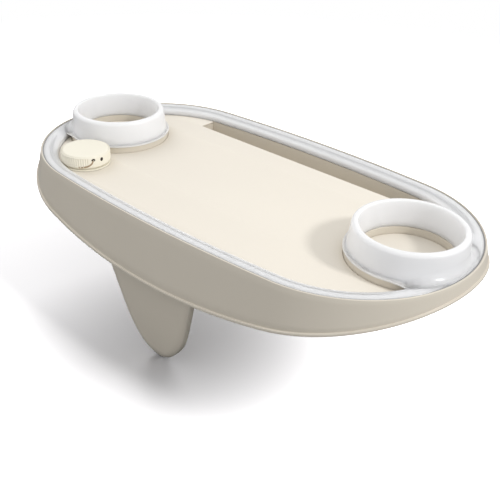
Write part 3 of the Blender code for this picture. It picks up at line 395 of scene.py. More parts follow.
def outline(inset, side_steps, end_steps):
    """The whole outline, clockwise from the middle of the back."""
    bow, end, middle = BOW_RADIUS - inset, END_RADIUS - inset, TRAY_WIDTH / 2 - BOW_RADIUS
    first = [(bow * sin(angle), middle + bow * cos(angle))
             for angle in between(0.0, BOW_TURN, side_steps)[:-1]]
    first += [(END_X + end * sin(angle), end * cos(angle))
              for angle in between(BOW_TURN, pi / 2, end_steps)]
    right = first + [(x, -y) for x, y in reversed(first[:-1])]
    return right + [(-x, y) for x, y in reversed(right[1:-1])]


def edge_y(x, inset):
    """Half width of the outline at a station."""
    bow = BOW_RADIUS - inset
    if abs(x) <= bow * sin(BOW_TURN):
        return TRAY_WIDTH / 2 - BOW_RADIUS + sqrt(bow ** 2 - x ** 2)
    return sqrt(max((END_RADIUS - inset) ** 2 - (abs(x) - END_X) ** 2, 0.0))


def skirt_depth(x):
    """Depth of the skirt below the rim: its edge is an arc in the side view."""
    half = TRAY_LENGTH / 2
    rise = SKIRT_DEPTH_MIDDLE - SKIRT_DEPTH_END
    radius = (half ** 2 + rise ** 2) / (2 * rise)
    return SKIRT_DEPTH_MIDDLE - radius + sqrt(radius ** 2 - min(abs(x), half) ** 2)


# Making pieces
def put(name, data):
    """Puts a mesh, curve, camera or lamp in the scene."""
    made = bpy.data.objects.new(name, data)
    bpy.context.scene.collection.objects.link(made)
    return made


def piece(name, mesh, slot, body="tray", replaces=(), angle=34.0):
    """Shows a mesh as a piece of the object in the finish of its slot."""
    made = put(name, mesh)
    mesh.materials.clear()
    mesh.materials.append(FINISH[slot])
    mesh.shade_smooth()
    mesh.set_sharp_from_angle(angle=radians(angle))
    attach(made, body)
    if replaces:
        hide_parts(*replaces)


def to_mesh(name, shape, turn_out=True):
    if turn_out:
        bmesh.ops.recalc_face_normals(shape, faces=shape.faces)
    mesh = bpy.data.meshes.new(name)
    shape.to_mesh(mesh)
    shape.free()
    return mesh


def drawn_mesh(made):
    """The mesh of an object as it is drawn."""
    bpy.context.view_layer.update()
    graph = bpy.context.evaluated_depsgraph_get()
    return bpy.data.meshes.new_from_object(made.evaluated_get(graph))


def rings_mesh(name, rings, closed=False, caps=False):
    """Joins rings of equal point counts: closed makes a tube whose last ring meets its first."""
    shape = bmesh.new()
    corners = [[shape.verts.new(point) for point in ring] for ring in rings]
    pairs = list(zip(corners, corners[1:]))
    if closed:
        pairs.append((corners[-1], corners[0]))
    for lower, upper in pairs:
        for i in range(len(lower)):
            j = (i + 1) % len(lower)
            shape.faces.new((lower[i], lower[j], upper[j], upper[i]))
    if caps:
        shape.faces.new(corners[0][::-1])
        shape.faces.new(corners[-1])
    return to_mesh(name, shape)


def turned_mesh(name, profile, centre, steps, closed=False):
    """Turns a profile of (radius, height) points about Z. A radius of nought closes at a point."""
    shape = bmesh.new()
    rows = []
    for radius, z in profile:
        ring = circle(radius, steps, centre) if radius else [centre]
        rows.append([shape.verts.new((x, y, z)) for x, y in ring])
    pairs = list(zip(rows, rows[1:]))
    if closed:
        pairs.append((rows[-1], rows[0]))
    for one, two in pairs:
        for i in range(steps):
            j = (i + 1) % steps
            if len(one) == 1:
                shape.faces.new((one[0], two[j], two[i]))
            elif len(two) == 1:
                shape.faces.new((one[i], one[j], two[0]))
            else:
                shape.faces.new((one[i], one[j], two[j], two[i]))
    return to_mesh(name, shape)


def plate_mesh(name, outlines, z_low, z_high, edge=0.0, matrix=None):
    """A flat outline with its holes, given a thickness and a rounded edge."""
    curve = bpy.data.curves.new(name, "CURVE")
    curve.dimensions = "2D"
    curve.fill_mode = "BOTH"
    curve.extrude = (z_high - z_low) / 2 - edge
    curve.bevel_depth = edge
    curve.bevel_resolution = 2
    curve.offset = -edge
    for line in outlines:
        spline = curve.splines.new("POLY")
        spline.points.add(len(line) - 1)
        for point, (x, y) in zip(spline.points, line):
            point.co = (x, y, 0.0, 1.0)
        spline.use_cyclic_u = True
    drawn = put(name + "_curve", curve)
    raw = drawn_mesh(drawn)
    raw.transform((matrix or Matrix()) @ Matrix.Translation((0, 0, (z_low + z_high) / 2)))
    shape = bmesh.new()
    shape.from_mesh(raw)
    bmesh.ops.remove_doubles(shape, verts=shape.verts, dist=0.000002)
    bpy.data.objects.remove(drawn, do_unlink=True)
    bpy.data.curves.remove(curve)
    bpy.data.meshes.remove(raw)
    return to_mesh(name, shape)


def one_mesh(name, meshes):
    """Puts several meshes into one."""
    shape = bmesh.new()
    for mesh in meshes:
        shape.from_mesh(mesh)
        bpy.data.meshes.remove(mesh)
    return to_mesh(name, shape, turn_out=False)


def upright(x):
    """Stands a flat outline of (y, z) points up across the tray at x."""
    return Matrix(((0, 0, 1, x), (1, 0, 0, 0), (0, 1, 0, 0), (0, 0, 0, 1)))


# Shell
def skirt_section(x):
    """Section of the skirt at a station: (how far in from the rim line, depth below the rim)."""
    depth = skirt_depth(x)
    lip = bpy.context.scene.tray_shape.lip_round
    points = [(LIP_WIDTH, RIM_Z - FLOOR_TOP)]
    points += [(LIP_WIDTH - lip + p, lip - q) for p, q in arc((0.0, 0.0), lip, 0, 90, 4)]
    points += [(lip + p, lip - q) for p, q in arc((0.0, 0.0), lip, 90, 180, 4)]
    ledge = depth - BEAD_HEIGHT - 0.0004
    points += [(-SKIRT_FLARE * down, down) for down in between(lip * 2, ledge - 0.0005, 7)]
    foot = -SKIRT_FLARE * ledge
    edge = foot - BEAD_PROUD
    points += [(foot + 0.0002, ledge - 0.0001), (foot + 0.0001, ledge + 0.0003),
               (foot - 0.0001, ledge + 0.00045)]
    points += [(edge + BEAD_ROUND - BEAD_ROUND * c, ledge + 0.0009 - BEAD_ROUND * s)
               for s, c in sines(90, 68, 45, 22, 0)]
    low = depth - SKIRT_ROUND
    points += [(edge - SKIRT_FLARE * (low - ledge) + SKIRT_ROUND - SKIRT_ROUND * c,
                low + SKIRT_ROUND * s) for s, c in sines(0, 25, 50, 75, 90)]
    inside = SKIRT_WALL - SKIRT_FLARE * depth
    points += [(inside - 0.0006, depth), (inside - 0.0002, depth - 0.0001),
               (inside, depth - 0.0005)]
    points += [(SKIRT_WALL - SKIRT_FLARE * down, down)
               for down in between(depth, RIM_Z + 0.0006, 5)[1:]]
    return points + [(SKIRT_WALL + 0.0006 - SKIRT_FLARE * RIM_Z, RIM_Z + 0.00005),
                     (SKIRT_WALL + 0.0030, RIM_Z + 0.00005)]


def skirt_mesh(shape):
    steps = (shape.side_steps, shape.end_steps)
    columns = []
    for (x, y), (x_far, y_far) in zip(outline(0.0, *steps), outline(SKIRT_REACH, *steps)):
        columns.append([(blend(x, x_far, inward / SKIRT_REACH),
                         blend(y, y_far, inward / SKIRT_REACH), RIM_Z - depth)
                        for inward, depth in skirt_section(x)])
    return rings_mesh("shell_skirt", zip(*columns))


def rib_outline(x):
    """Section of a rib across the tray: flat against the floor, hollowed to the tub's wall."""
    back = edge_y(x, 0.0) - SKIRT_WALL / 2
    front = TONGUE_ROOM_Y if abs(x) < TONGUE_ROOM else -back
    lowest = RIM_Z - skirt_depth(x) + RIB_LIFT
    crown = FLOOR_TOP / 4
    hollow = sqrt(TUB_RADIUS ** 2 - (TUB_RADIUS + lowest - crown) ** 2)
    near, far = SLOT_FRONT - SLOT_WALL - GAP, edge_y(x, RIM_INNER_LOW - SLOT_WALL - GAP)
    sunk = SLOT_BOTTOM - SLOT_WALL - GAP
    points = [(back, FLOOR_TOP / 2), (far, FLOOR_TOP / 2), (far, sunk), (near, sunk),
              (near, FLOOR_TOP / 2), (front, FLOOR_TOP / 2)]
    if hollow < -front:
        points.append((front, lowest))
    points += [(y, crown - TUB_RADIUS + sqrt(TUB_RADIUS ** 2 - y ** 2))
               for y in between(max(front, -hollow), min(back, hollow), 48)]
    if hollow < back:
        points.append((back, lowest))
    return points


def slot_line(out, corner=0.0):
    """The device slot grown outward: straight front and ends, and a back along the rim."""
    front, end = SLOT_FRONT - out, SLOT_LENGTH / 2 + out
    line = [(-end, front), (end, front)]
    if corner:
        line = ([(-end, front + corner)] + arc((corner - end, front + corner), corner, 180, 270, 5)
                + arc((end - corner, front + corner), corner, 270, 360, 5)
                + [(end, front + corner)])
    return line + [(x, edge_y(x, RIM_INNER_LOW - out)) for x in between(end, -end, SLOT_STEPS)]


def back_strip(name, inner, outer, low):
    """A strip up to the deck's height along the slot's back, between two insets."""
    xs = between(SLOT_LENGTH / 2, -SLOT_LENGTH / 2, SLOT_STEPS)
    line = [(x * STRIP_TRIM, edge_y(x, inner)) for x in xs]
    line += [(x * STRIP_TRIM, edge_y(x, outer)) for x in reversed(xs)]
    return plate_mesh(name, [line], low, DECK_TOP)


def face_mesh(name, points):
    shape = bmesh.new()
    shape.faces.new([shape.verts.new(point) for point in points])
    return to_mesh(name, shape, turn_out=False)


def trough_mesh():
    deep, base = SLOT_BOTTOM, SLOT_BOTTOM - SLOT_WALL
    outside = ((SLOT_WALL - 0.001, base), (SLOT_WALL, base + 0.001), (SLOT_WALL, FLOOR_TOP))
    inside = ((0.0, FLOOR_TOP), (0.0, deep + 0.0016), (-0.0003, deep + 0.0008),
              (-0.0008, deep + 0.0003), (-0.0016, deep))
    rings = [[(x, y, z) for x, y in slot_line(out, corner)]
             for corner, side in ((TROUGH_CORNER, outside), (SLOT_CORNER, inside))
             for out, z in side]
    return one_mesh("slot_trough_fine", [
        rings_mesh("trough_walls", rings), face_mesh("trough_floor", rings[-1]),
        face_mesh("trough_base", rings[0]),
        back_strip("trough_back", RIM_INNER_LOW, RIM_INNER_LOW - SLOT_WALL, FLOOR_TOP)])


class TRAY_OT_shell(bpy.types.Operator):
    """Makes the shell: skirt with its lip and bead, floor, ribs, land and the light's well."""

    bl_idname = "tray.shell"
    bl_label = "Shell"

    def execute(self, context):
        shape = context.scene.tray_shape
        out = SLOT_WALL + GAP
        piece("shell_skirt", skirt_mesh(shape), "taupe_plastic", replaces=["base_shell"], angle=40)
        floor = plate_mesh("shell_floor", [
            outline(LIP_WIDTH - 0.0002, shape.side_steps, OUTLINE_STEPS), slot_line(out),
            circle(LIGHT_BARREL, LIGHT_STEPS, LIGHT)], 0.0, FLOOR_TOP)
        piece("shell_floor", floor, "taupe_plastic", replaces=["base_shell"])
        stations = [i * RIB_SPACING for i in range(-RIBS_EACH_SIDE, RIBS_EACH_SIDE + 1)]
        ribs = [plate_mesh("rib", [rib_outline(x)], -RIB_HALF, RIB_HALF, edge=RIB_ROUND,
                           matrix=upright(x)) for x in stations]
        land = back_strip("land", RIM_INNER_LOW - out, LIP_WIDTH / 2, FLOOR_TOP / 2)
        well = turned_mesh("well", [
            (0.0, WELL_BOTTOM), (0.0194, WELL_BOTTOM), (0.0206, -0.0149), (0.0214, -0.0141),
            (0.0218, -0.0128), (0.0218, -0.0006), (0.0224, 0.0001), (0.0224, FLOOR_TOP / 2),
            (LIGHT_BARREL + 0.0002, FLOOR_TOP / 2), (LIGHT_BARREL + 0.0002, 0.0),
            (LIGHT_HOLE, 0.0), (LIGHT_HOLE, WELL_INSIDE), (0.0, WELL_INSIDE),
        ], LIGHT, LIGHT_STEPS)
        piece("shell_ribs", one_mesh("shell_ribs", ribs + [land, well]), "taupe_plastic")
        piece("slot_trough_fine", trough_mesh(), "taupe_plastic", replaces=["slot_trough"])
        for side, centre in CUPS.items():
            step = turned_mesh("cup_step_fine_" + side, [
                (PLINTH_OUTER - 0.0003, PLINTH_TOP), (PLINTH_OUTER, PLINTH_TOP - 0.0003),
                (PLINTH_OUTER, PLINTH_LOW), (PLINTH_INNER, PLINTH_LOW),
                (PLINTH_INNER, PLINTH_TOP - 0.0004), (PLINTH_INNER + 0.0004, PLINTH_TOP),
            ], centre, shape.collar_steps, closed=True)
            piece("cup_step_fine_" + side, step, "taupe_plastic", replaces=["cup_step_" + side])
        return {"FINISHED"}


# Deck
def deck_line(shape):
    """Outline of the deck, which stops short of the slot and of the cup steps."""
    inset = LIP_WIDTH + GAP
    half = SLOT_LENGTH / 2
    first = radians(PLINTH_GATE)
    radius = PLINTH_OUTER + GAP
    step_arc = [(CUP_X + radius * cos(angle), radius * sin(angle))
                for angle in between(first, 2 * pi - first, 96)]
    gate = step_arc[0][1]
    far = END_X + sqrt((END_RADIUS - inset) ** 2 - gate ** 2)
    ring = outline(inset, shape.side_steps, OUTLINE_STEPS)
    ring = ring[:len(ring) // 2]
    back = [(x, y) for x, y in ring if x > half + GAP and y > gate + GAP]
    front = [(x, y) for x, y in ring if x > 0.0001 and y < -gate - GAP]
    right = arc((half - SLOT_CORNER, SLOT_FRONT + SLOT_CORNER), SLOT_CORNER, 270, 360, 5)
    right += [(half, edge_y(half, inset))] + back + [(far, gate)] + step_arc
    right += [(far, -gate)] + front
    return right + [(-x, y) for x, y in reversed(right)]


class TRAY_OT_deck(bpy.types.Operator):
    """Makes the deck with its rounded edge, and the pads in the cups."""

    bl_idname = "tray.deck"
    bl_label = "Deck and cup pads"

    def execute(self, context):
        shape = context.scene.tray_shape
        low = FLOOR_TOP + GAP
        deck = plate_mesh("deck_top", [deck_line(shape), circle(LIGHT_HOLE, LIGHT_STEPS, LIGHT)],
                          low, DECK_TOP, edge=0.0005)
        piece("deck_top", deck, "cream_plastic", replaces=["deck_panel"], angle=50)
        high, radius = low + PAD_THICKNESS, PLINTH_INNER - GAP
        for side, centre in CUPS.items():
            pad = turned_mesh("cup_pad_" + side, [
                (0.0, high - 0.0001), (0.010, high - 0.0001), (0.022, high - 0.00006),
                (radius - 0.0022, high), (radius - 0.0009, high), (radius - 0.0003, high - 0.0002),
                (radius, high - 0.0005), (radius, low), (0.0, low),
            ], centre, shape.collar_steps)
            piece("cup_pad_" + side, pad, "cream_plastic", replaces=["cup_mat_" + side])
        return {"FINISHED"}


# Rim band and cup collars
def share_at(value, low, high):
    return min(max((value - low) / (high - low), 0.0), 1.0)


def ease(value, low, high):
    share = share_at(value, low, high)
    return share * share * (3 - 2 * share)


def collar_radius(z):
    """Radius of the collar's outer side at a height: it widens a little towards its foot."""
    share = share_at(z, COLLAR_TOP_Z - COLLAR_SHOULDER, COLLAR_FOOT_Z + COLLAR_LIP_HEIGHT)
    return blend(COLLAR_WALL_TOP, COLLAR_WALL_FOOT, share)


def reach(angle, inset):
    """Distance from a cup's centre out to a line inside the rim, at an angle from outward."""
    return (sqrt((END_RADIUS - inset) ** 2 - (CUP_OFFSET * sin(angle)) ** 2)
            - CUP_OFFSET * cos(angle))


def inset_at(angle, radius):
    """How far inside the rim a point lies, given from a cup's centre."""
    return END_RADIUS - hypot(CUP_OFFSET + radius * cos(angle), radius * sin(angle))


def band_section(shape):
    """Section of the rim band: (how far in from the rim line, drop below the rim)."""
    outer = LIP_WIDTH + GAP
    shoulder, edge = CREST_INSET - outer, shape.band_round
    points = [(outer, RIM_Z - FRAME_LOW), (outer, 0.0027)]
    points += [(outer + shoulder - shoulder * c, 0.0026 - 0.0024 * s)
               for s, c in sines(12, 27, 42, 57, 72, 90)]
    points += [(0.0048, 0.00012), (0.0054, 0.00012), (0.0070, 0.00030),
               (GROOVE[0], GROOVE_DROP[0]), (0.0086, 0.00110), (0.0088, 0.00190),
               (0.0092, 0.00215), (0.0095, 0.00200), (0.0097, 0.00130),
               (GROOVE[1], GROOVE_DROP[1])]
    slope_end = RIM_INNER_INSET - edge
    points += [(blend(GROOVE[1], slope_end, share), GROOVE_DROP[1] + 0.00157 * share ** 1.15)
               for share in between(0.0, 1.0, 9)[1:]]
    points += [(slope_end + edge * s, RIM_INNER_DROP + 0.0003 - edge * c + edge * 0.6)
               for s, c in sines(25, 50, 75, 88)]
    return points + [(RIM_INNER_LOW, RIM_Z - FRAME_LOW)]


def band_drop(shape, inset):
    """Drop of the rim band's top below the rim line, as if the band had no groove."""
    points = [point for point in band_section(shape)[1:-1]
              if not GROOVE[0] < point[0] < GROOVE[1]]
    for (a, za), (b, zb) in zip(points, points[1:]):
        if a <= inset <= b:
            return blend(za, zb, (inset - a) / (b - a))
    return points[-1][1]


def band_mesh(shape):
    """The rim band, pushed clear of the cups, with a groove that fades beside them."""
    rings = []
    for inset, drop in band_section(shape):
        ring = []
        for x, y in outline(inset, shape.side_steps, shape.end_steps * 2):
            cup = CUP_X if x > 0 else -CUP_X
            radius = hypot(x - cup, y)
            z = RIM_Z - drop
            if GROOVE[0] <= inset <= GROOVE[1]:
                plain = blend(*GROOVE_DROP, share_at(inset, *GROOVE))
                z = RIM_Z - plain - (drop - plain) * ease(radius, 0.056, 0.080)
            least = PLINTH_OUTER + GAP if z < COLLAR_FOOT_Z else collar_radius(z) - 0.0009
            if radius < least:
                x = cup + (x - cup) * least / radius
                y = y * least / radius
            ring.append((x, y, z))
        rings.append(ring)
    return rings_mesh("rim_band", rings, closed=True)


def shade_strip_mesh(name, shape, points, thick=0.00015):
    """A thin ring along the rim through (inset, drop) points, laid as a strip of painted shade."""
    corners = points + [(inset, drop + thick) for inset, drop in reversed(points)]
    steps = (shape.side_steps, shape.end_steps * 2)
    rings = [[(x, y, RIM_Z - drop) for x, y in outline(inset, *steps)] for inset, drop in corners]
    return rings_mesh(name, rings, closed=True)


def collar_end(angle, shape, share):
    """Where a collar's outer side ends: radius, height and slope."""
    end_r, end_z, slope = COLLAR_FOOT_OUTER, COLLAR_FOOT_Z + COLLAR_LIP_HEIGHT, 0.0
    if share > 0:
        lip_inset = inset_at(angle, COLLAR_FOOT_OUTER)
        inset = blend(lip_inset, CREST_INSET, share)
        end_r = reach(angle, inset)
        joined = ease(share, 0.02, 0.40)
        drop = band_drop(shape, inset)
        end_z = blend(end_z, RIM_Z - drop + 0.00006, joined)
        further = band_drop(shape, inset_at(angle, end_r + 0.0008))
        slope = max(0.0, min(0.5, (drop - further) / 0.0008)) * joined
    return end_r, end_z, slope


def collar_section(angle, shape):
    """Section of a collar at an angle from outward. Outward it runs down into the rim band in a
    hollow curve, and elsewhere it ends in a narrow ledge at its foot."""
    top, foot, across = COLLAR_TOP_Z, COLLAR_FOOT_Z, COLLAR_SHOULDER
    share = 1 - ease(abs(degrees(angle)), shape.soft_from, shape.soft_to)
    end_r, end_z, slope = collar_end(angle, shape, share)
    rise = 0.0007 + 0.0083 * share
    points = arc((COLLAR_WALL_TOP - across, top - across), across, 90, 9, 9)
    points += [(collar_radius(z), z) for z in between(top - across, end_z + rise, 12)[:-1]]
    start_r = collar_radius(end_z + rise)
    width, pull = end_r - start_r, COLLAR_PULL
    for t in between(0.0, 15 / 16, 15) + [0.975, 0.99, 1.0]:
        settled = 3 * t ** 2 - 2 * t ** 3
        ahead = (t ** 3 - t ** 2) * pull
        behind = (t ** 3 - 2 * t ** 2 + t) * pull
        points.append((start_r + width * (settled + ahead),
                       end_z + rise * (1 - settled - behind) + slope * width * ahead))
    full = max(0, 4 * share - 3)
    edge_r = blend(0.0003, CREST_INSET - LIP_WIDTH - GAP + 0.00008, full)
    edge_z = 0.0006 + 0.0018 * full
    points += [(end_r + edge_r * s, end_z - edge_z * (1 - c))
               for s, c in sines(15, 30, 45, 60, 75, 90)]
    low = min(foot, end_z - edge_z - 0.0002)
    points += [(end_r + edge_r, low), (PLINTH_OUTER + 0.0004, low), (PLINTH_OUTER + 0.0003, foot),
               (PLINTH_INNER + 0.0003, foot), (PLINTH_INNER - 0.00005, foot + 0.0003)]
    points += [(blend(PLINTH_INNER, COLLAR_TOP_INNER, up), blend(foot, top - COLLAR_ROLL, up))
               for up in between(0.0, 7 / 8, 7)[1:]]
    return points + arc((COLLAR_TOP_INNER + COLLAR_ROLL, top - COLLAR_ROLL), COLLAR_ROLL,
                        180, 92, 8)


def collar_mesh(name, side, shape):
    columns = []
    for i in range(shape.collar_steps):
        angle = 2 * pi * i / shape.collar_steps
        if angle > pi:
            angle -= 2 * pi
        columns.append([(side * (CUP_X + radius * cos(angle)), radius * sin(angle), z)
                        for radius, z in collar_section(angle, shape)])
    return rings_mesh(name, zip(*columns), closed=True)


class TRAY_OT_frame(bpy.types.Operator):
    """Makes the milky rim band with its strips of painted shade in the gap and groove, and the two
    cup collars that rise out of it.
    """

    bl_idname = "tray.frame"
    bl_label = "Rim band and collars"

    def execute(self, context):
        shape = context.scene.tray_shape
        piece("rim_band", band_mesh(shape), "milky_plastic", replaces=["light_frame"], angle=60)
        # Painted shade: dark strips laid in the rim's gap and along its groove
        piece("rim_gap", shade_strip_mesh("rim_gap", shape, GAP_SHADE_LINE), "gap_grey")
        piece("rim_line", shade_strip_mesh("rim_line", shape, GROOVE_SHADE_LINE), "line_grey")
        for side, sign in (("left", -1), ("right", 1)):
            collar = collar_mesh("collar_fine_" + side, sign, shape)
            piece("collar_fine_" + side, collar, "milky_plastic",
                  replaces=["cup_collar_" + side], angle=60)
        return {"FINISHED"}


# Tongue
def tongue_half(depth):
    """Half width at a depth, smooth through the stations."""
    stations = TONGUE_STATIONS
    if depth <= TONGUE_BEND:
        return stations[0][1]
    if depth >= TONGUE_TIP:
        return stations[-1][1]
    i = max(i for i, station in enumerate(stations) if station[0] < depth)
    (d1, w1), (d2, w2) = stations[i], stations[i + 1]
    before = stations[max(i - 1, 0)]
    after = stations[min(i + 2, len(stations) - 1)]
    slope_1 = (w2 - before[1]) / (d2 - before[0])
    slope_2 = (after[1] - w1) / (after[0] - d1)
    span = d2 - d1
    t = (depth - d1) / span
    return ((2 * t ** 3 - 3 * t ** 2 + 1) * w1 + (t ** 3 - 2 * t ** 2 + t) * span * slope_1
            + (3 * t ** 2 - 2 * t ** 3) * w2 + (t ** 3 - t ** 2) * span * slope_2)


def tongue_front(depth):
    if depth > TONGUE_BEND:
        return TONGUE_BEND_Y + TONGUE_LEAN * (depth - TONGUE_BEND)
    return blend(TONGUE_TOP_Y, TONGUE_BEND_Y, (depth - RIM_Z) / (TONGUE_BEND - RIM_Z))


def tongue_mesh():
    """The tongue: a flat front with rounded sides that curls back at its tip, hollow behind."""
    tip = TONGUE_TIP
    depths = [RIM_Z + GAP, 0.030, 0.045] + between(TONGUE_BEND, 0.1200, 30)
    depths += [tip - 0.0096 * (1 - i / 26) ** 1.6 for i in range(1, 26)] + [tip - 0.00002]
    rings = []
    for depth in depths:
        front, half = tongue_front(depth), tongue_half(depth)
        rear = front + TONGUE_THICKNESS
        past = max(1 - (tip - depth) / TONGUE_CURL, 0.0)
        curl = TONGUE_ROUND * (1 - sqrt(1 - past ** 2))
        bevel = min(TONGUE_BEVEL, half * 0.8)
        face = front + curl
        side = [(half - bevel + bevel * s, face + (TONGUE_ROUND - curl) * (1 - c))
                for s, c in sines(*between(0.0, 90.0, 12))]
        side += [(half, rear - 0.0006), (half - 0.0005, rear)]
        closing = ease(depth, tip - 0.0050, tip - 0.0022)
        inner = blend(face + TONGUE_WALL, rear, closing)
        inner_half = max(half - TONGUE_WALL, half * 0.2)
        side += [(inner_half, rear - 0.00005), (inner_half, min(inner + 0.0022, rear - 0.0001)),
                 (max(inner_half - 0.0030, inner_half * 0.5), min(inner, rear - 0.0001))]
        ring = [(-x, y) for x, y in reversed(side)] + side
        rings.append([(x, y, RIM_Z - depth) for x, y in ring])
    return rings_mesh("front_tongue_fine", rings, caps=True)


class TRAY_OT_tongue(bpy.types.Operator):
    """Makes the tongue that hangs from the front, with its flange and stiffening ribs."""

    bl_idname = "tray.tongue"
    bl_label = "Front tongue"

    def execute(self, context):
        # Its finish is the shell's colour painted lighter, as painted light on the tongue
        piece("front_tongue_fine", tongue_mesh(), "tongue_plastic", replaces=["front_tongue"],
              angle=50)
        parts = []
        for x in (-0.015, 0.0, 0.015):
            low = TONGUE_BEND
            while tongue_half(low) - 0.0030 > abs(x) and low < 0.1262:
                low += 0.0004
            depths = between(0.0150, low, 20)
            line = [(tongue_front(d) + 0.0016, RIM_Z - d) for d in depths]
            line += [(tongue_front(d) + TONGUE_THICKNESS - 0.0009, RIM_Z - d)
                     for d in reversed(depths)]
            parts.append(plate_mesh("tongue_rib", [line], -RIB_HALF, RIB_HALF, edge=RIB_ROUND,
                                    matrix=upright(x)))
        half, corner, under = 0.034, 0.010, -0.0033
        front, back = TONGUE_TOP_Y + 0.0011, -0.0900
        flange = [(-half, front)] + arc((corner - half, back - corner), corner, 180, 90, 8)
        flange += arc((half - corner, back - corner), corner, 90, 0, 8) + [(half, front)]
        parts.append(plate_mesh("tongue_flange", [flange], under, -GAP - 0.00005,
                                edge=RIB_ROUND))
        piece("tongue_flange_fine", one_mesh("tongue_flange_fine", parts), "taupe_plastic",
              replaces=["front_tongue"])
        return {"FINISHED"}


# Push light
def on_ring(angle, z, out=0.0):
    """A point on the light's side at an angle in degrees and a height."""
    radius = LIGHT_RADIUS + out
    return (LIGHT[0] + radius * cos(radians(angle)), LIGHT[1] + radius * sin(radians(angle)), z)


def grip_mesh(shape):
    """Ring with fine upright ribs, plain where its marks stand."""
    low, top, bore = 0.0052, 0.0158, 0.0009
    sweep = 360.0 - PLAIN_SWEEP
    angles = []
    for i in range(shape.grip_ribs):
        for part in range(8):
            angles.append((PLAIN_FROM - sweep * (i + part / 8) / shape.grip_ribs,
                           shape.grip_depth * abs(cos(pi * part / 8)) ** 1.5))
    angles += [(PLAIN_FROM + PLAIN_SWEEP - PLAIN_SWEEP * i / 48, 0.0) for i in range(1, 48)]
    profile = [(0.0027, low + 0.0002, 0.0), (0.0020, low, 0.0), (0.0014, low + 0.0001, 0.0),
               (0.0006, low + 0.0011, 0.0), (0.0001, low + 0.0017, 0.0), (0.0, low + 0.0021, 0.0),
               (0.0, low + 0.0027, 0.0), (0.0, low + 0.0031, 1.0), (0.0, top - 0.0016, 1.0),
               (0.00005, top - 0.0011, 0.7), (0.00010, top - 0.0006, 0.2),
               (0.0002, top - 0.0002, 0.0), (0.0004, top, 0.0), (bore, top, 0.0),
               (bore, 0.0102, 0.0), (0.0027, 0.0100, 0.0)]
    rings = [[on_ring(angle, z, -inward - depth * ribbed) for angle, depth in angles]
             for inward, z, ribbed in profile]
    return rings_mesh("grip_fine", rings, closed=True)


def cap_mesh():
    """The push cap: a flat top that rolls over into a skirt, open below."""
    radius, top = LIGHT_RADIUS - 0.0010, LIGHT_TOP
    return turned_mesh("cap_fine", [
        (0.0, top), (radius * 0.5, top - 0.00001), (radius - 0.0024, top - 0.00006),
        (radius - 0.0016, top - 0.00014), (radius - 0.0010, top - 0.0003),
        (radius - 0.0005, top - 0.0006), (radius - 0.00015, top - 0.0011),
        (radius, top - 0.0017), (radius, CAP_LOW), (radius - CAP_WALL, CAP_LOW),
        (radius - CAP_WALL, top - 0.0022), (radius - 0.0022, top - 0.0016), (0.0, top - 0.0016),
    ], LIGHT, 128)


def dot_mesh(place, wide, z, tall):
    """A thin printed dot bent onto the ring, its place and width in degrees."""
    shape = bmesh.new()
    shape.faces.new([shape.verts.new(on_ring(place + wide * c, z + tall * s, MARK_PROUD))
                     for s, c in sines(*range(0, 360, 15))])
    return to_mesh("mark", shape)


def stroke_mesh(name, points, width):
    """A thin printed line bent onto the ring through (angle, height) points."""
    per_degree = radians(LIGHT_RADIUS)
    shape = bmesh.new()
    edges = []
    for i, (angle, z) in enumerate(points):
        before, after = points[max(i - 1, 0)], points[min(i + 1, len(points) - 1)]
        along = Vector(((after[0] - before[0]) * per_degree, after[1] - before[1])).normalized()
        across = Vector((-along.y, along.x)) * width / 2
        edges.append([shape.verts.new(on_ring(angle + sign * across.x / per_degree,
                                              z + sign * across.y, MARK_PROUD))
                      for sign in (1, -1)])
    for (left, right), (next_left, next_right) in zip(edges, edges[1:]):
        shape.faces.new((left, next_left, next_right, right))
    return to_mesh(name, shape)


class TRAY_OT_light(bpy.types.Operator):
    """Makes the push light's grip ring, its cap and the marks on its side."""

    bl_idname = "tray.light"
    bl_label = "Push light"

    def execute(self, context):
        grip = grip_mesh(context.scene.tray_shape)
        piece("grip_fine", grip, "ivory_plastic", body="light", replaces=["grip_ring"], angle=50)
        piece("cap_fine", cap_mesh(), "ivory_plastic", body="cap", replaces=["press_cap"],
              angle=50)
        dots = [dot_mesh(*dot) for dot in MARK_DOTS]
        piece("mark_dot", one_mesh("mark_dot", dots), "mark_ink", body="light")
        piece("mark_turn", stroke_mesh("mark_turn", MARK_TURN, MARK_WIDTH), "mark_brown",
              body="light")
        return {"FINISHED"}


# Screws seen from below
def screw_mesh(name, place, face, head, height, length, radius):
    """Pan head, driven from below, and its shank."""
    profile = [(0.0, face + length), (radius * 0.5, face + length),
               (radius, face + length - radius), (radius, face)]
    profile += [(head - 0.00012, face), (head, face - 0.00012), (head, face - height * 0.45)]
    profile += [(head * c ** 0.8, face - height * (0.45 + 0.55 * s))
                for s, c in sines(18, 36, 54, 70, 82)]
    return turned_mesh(name, profile + [(0.0, face - height)], place, 40)


def cross_cut(made, place, top, size, depth):
    """Cuts a cross recess into a screw's head and gives the mesh."""
    arms = []
    for turn in (0.0, pi / 2):
        matrix = Matrix.Translation((*place, 0)) @ Matrix.Rotation(turn + 0.35, 4, "Z")
        line = [(-size, -size * 0.16), (size, -size * 0.16), (size, size * 0.16),
                (-size, size * 0.16)]
        arms.append(put("arm", plate_mesh("arm", [line], top - 0.001, top + depth,
                                          matrix=matrix)))
        cut = made.modifiers.new("cross", "BOOLEAN")
        cut.operation = "DIFFERENCE"
        cut.solver = "EXACT"
        cut.object = arms[-1]
    mesh = drawn_mesh(made)
    for used in arms + [made]:
        bpy.data.objects.remove(used, do_unlink=True)
    return mesh


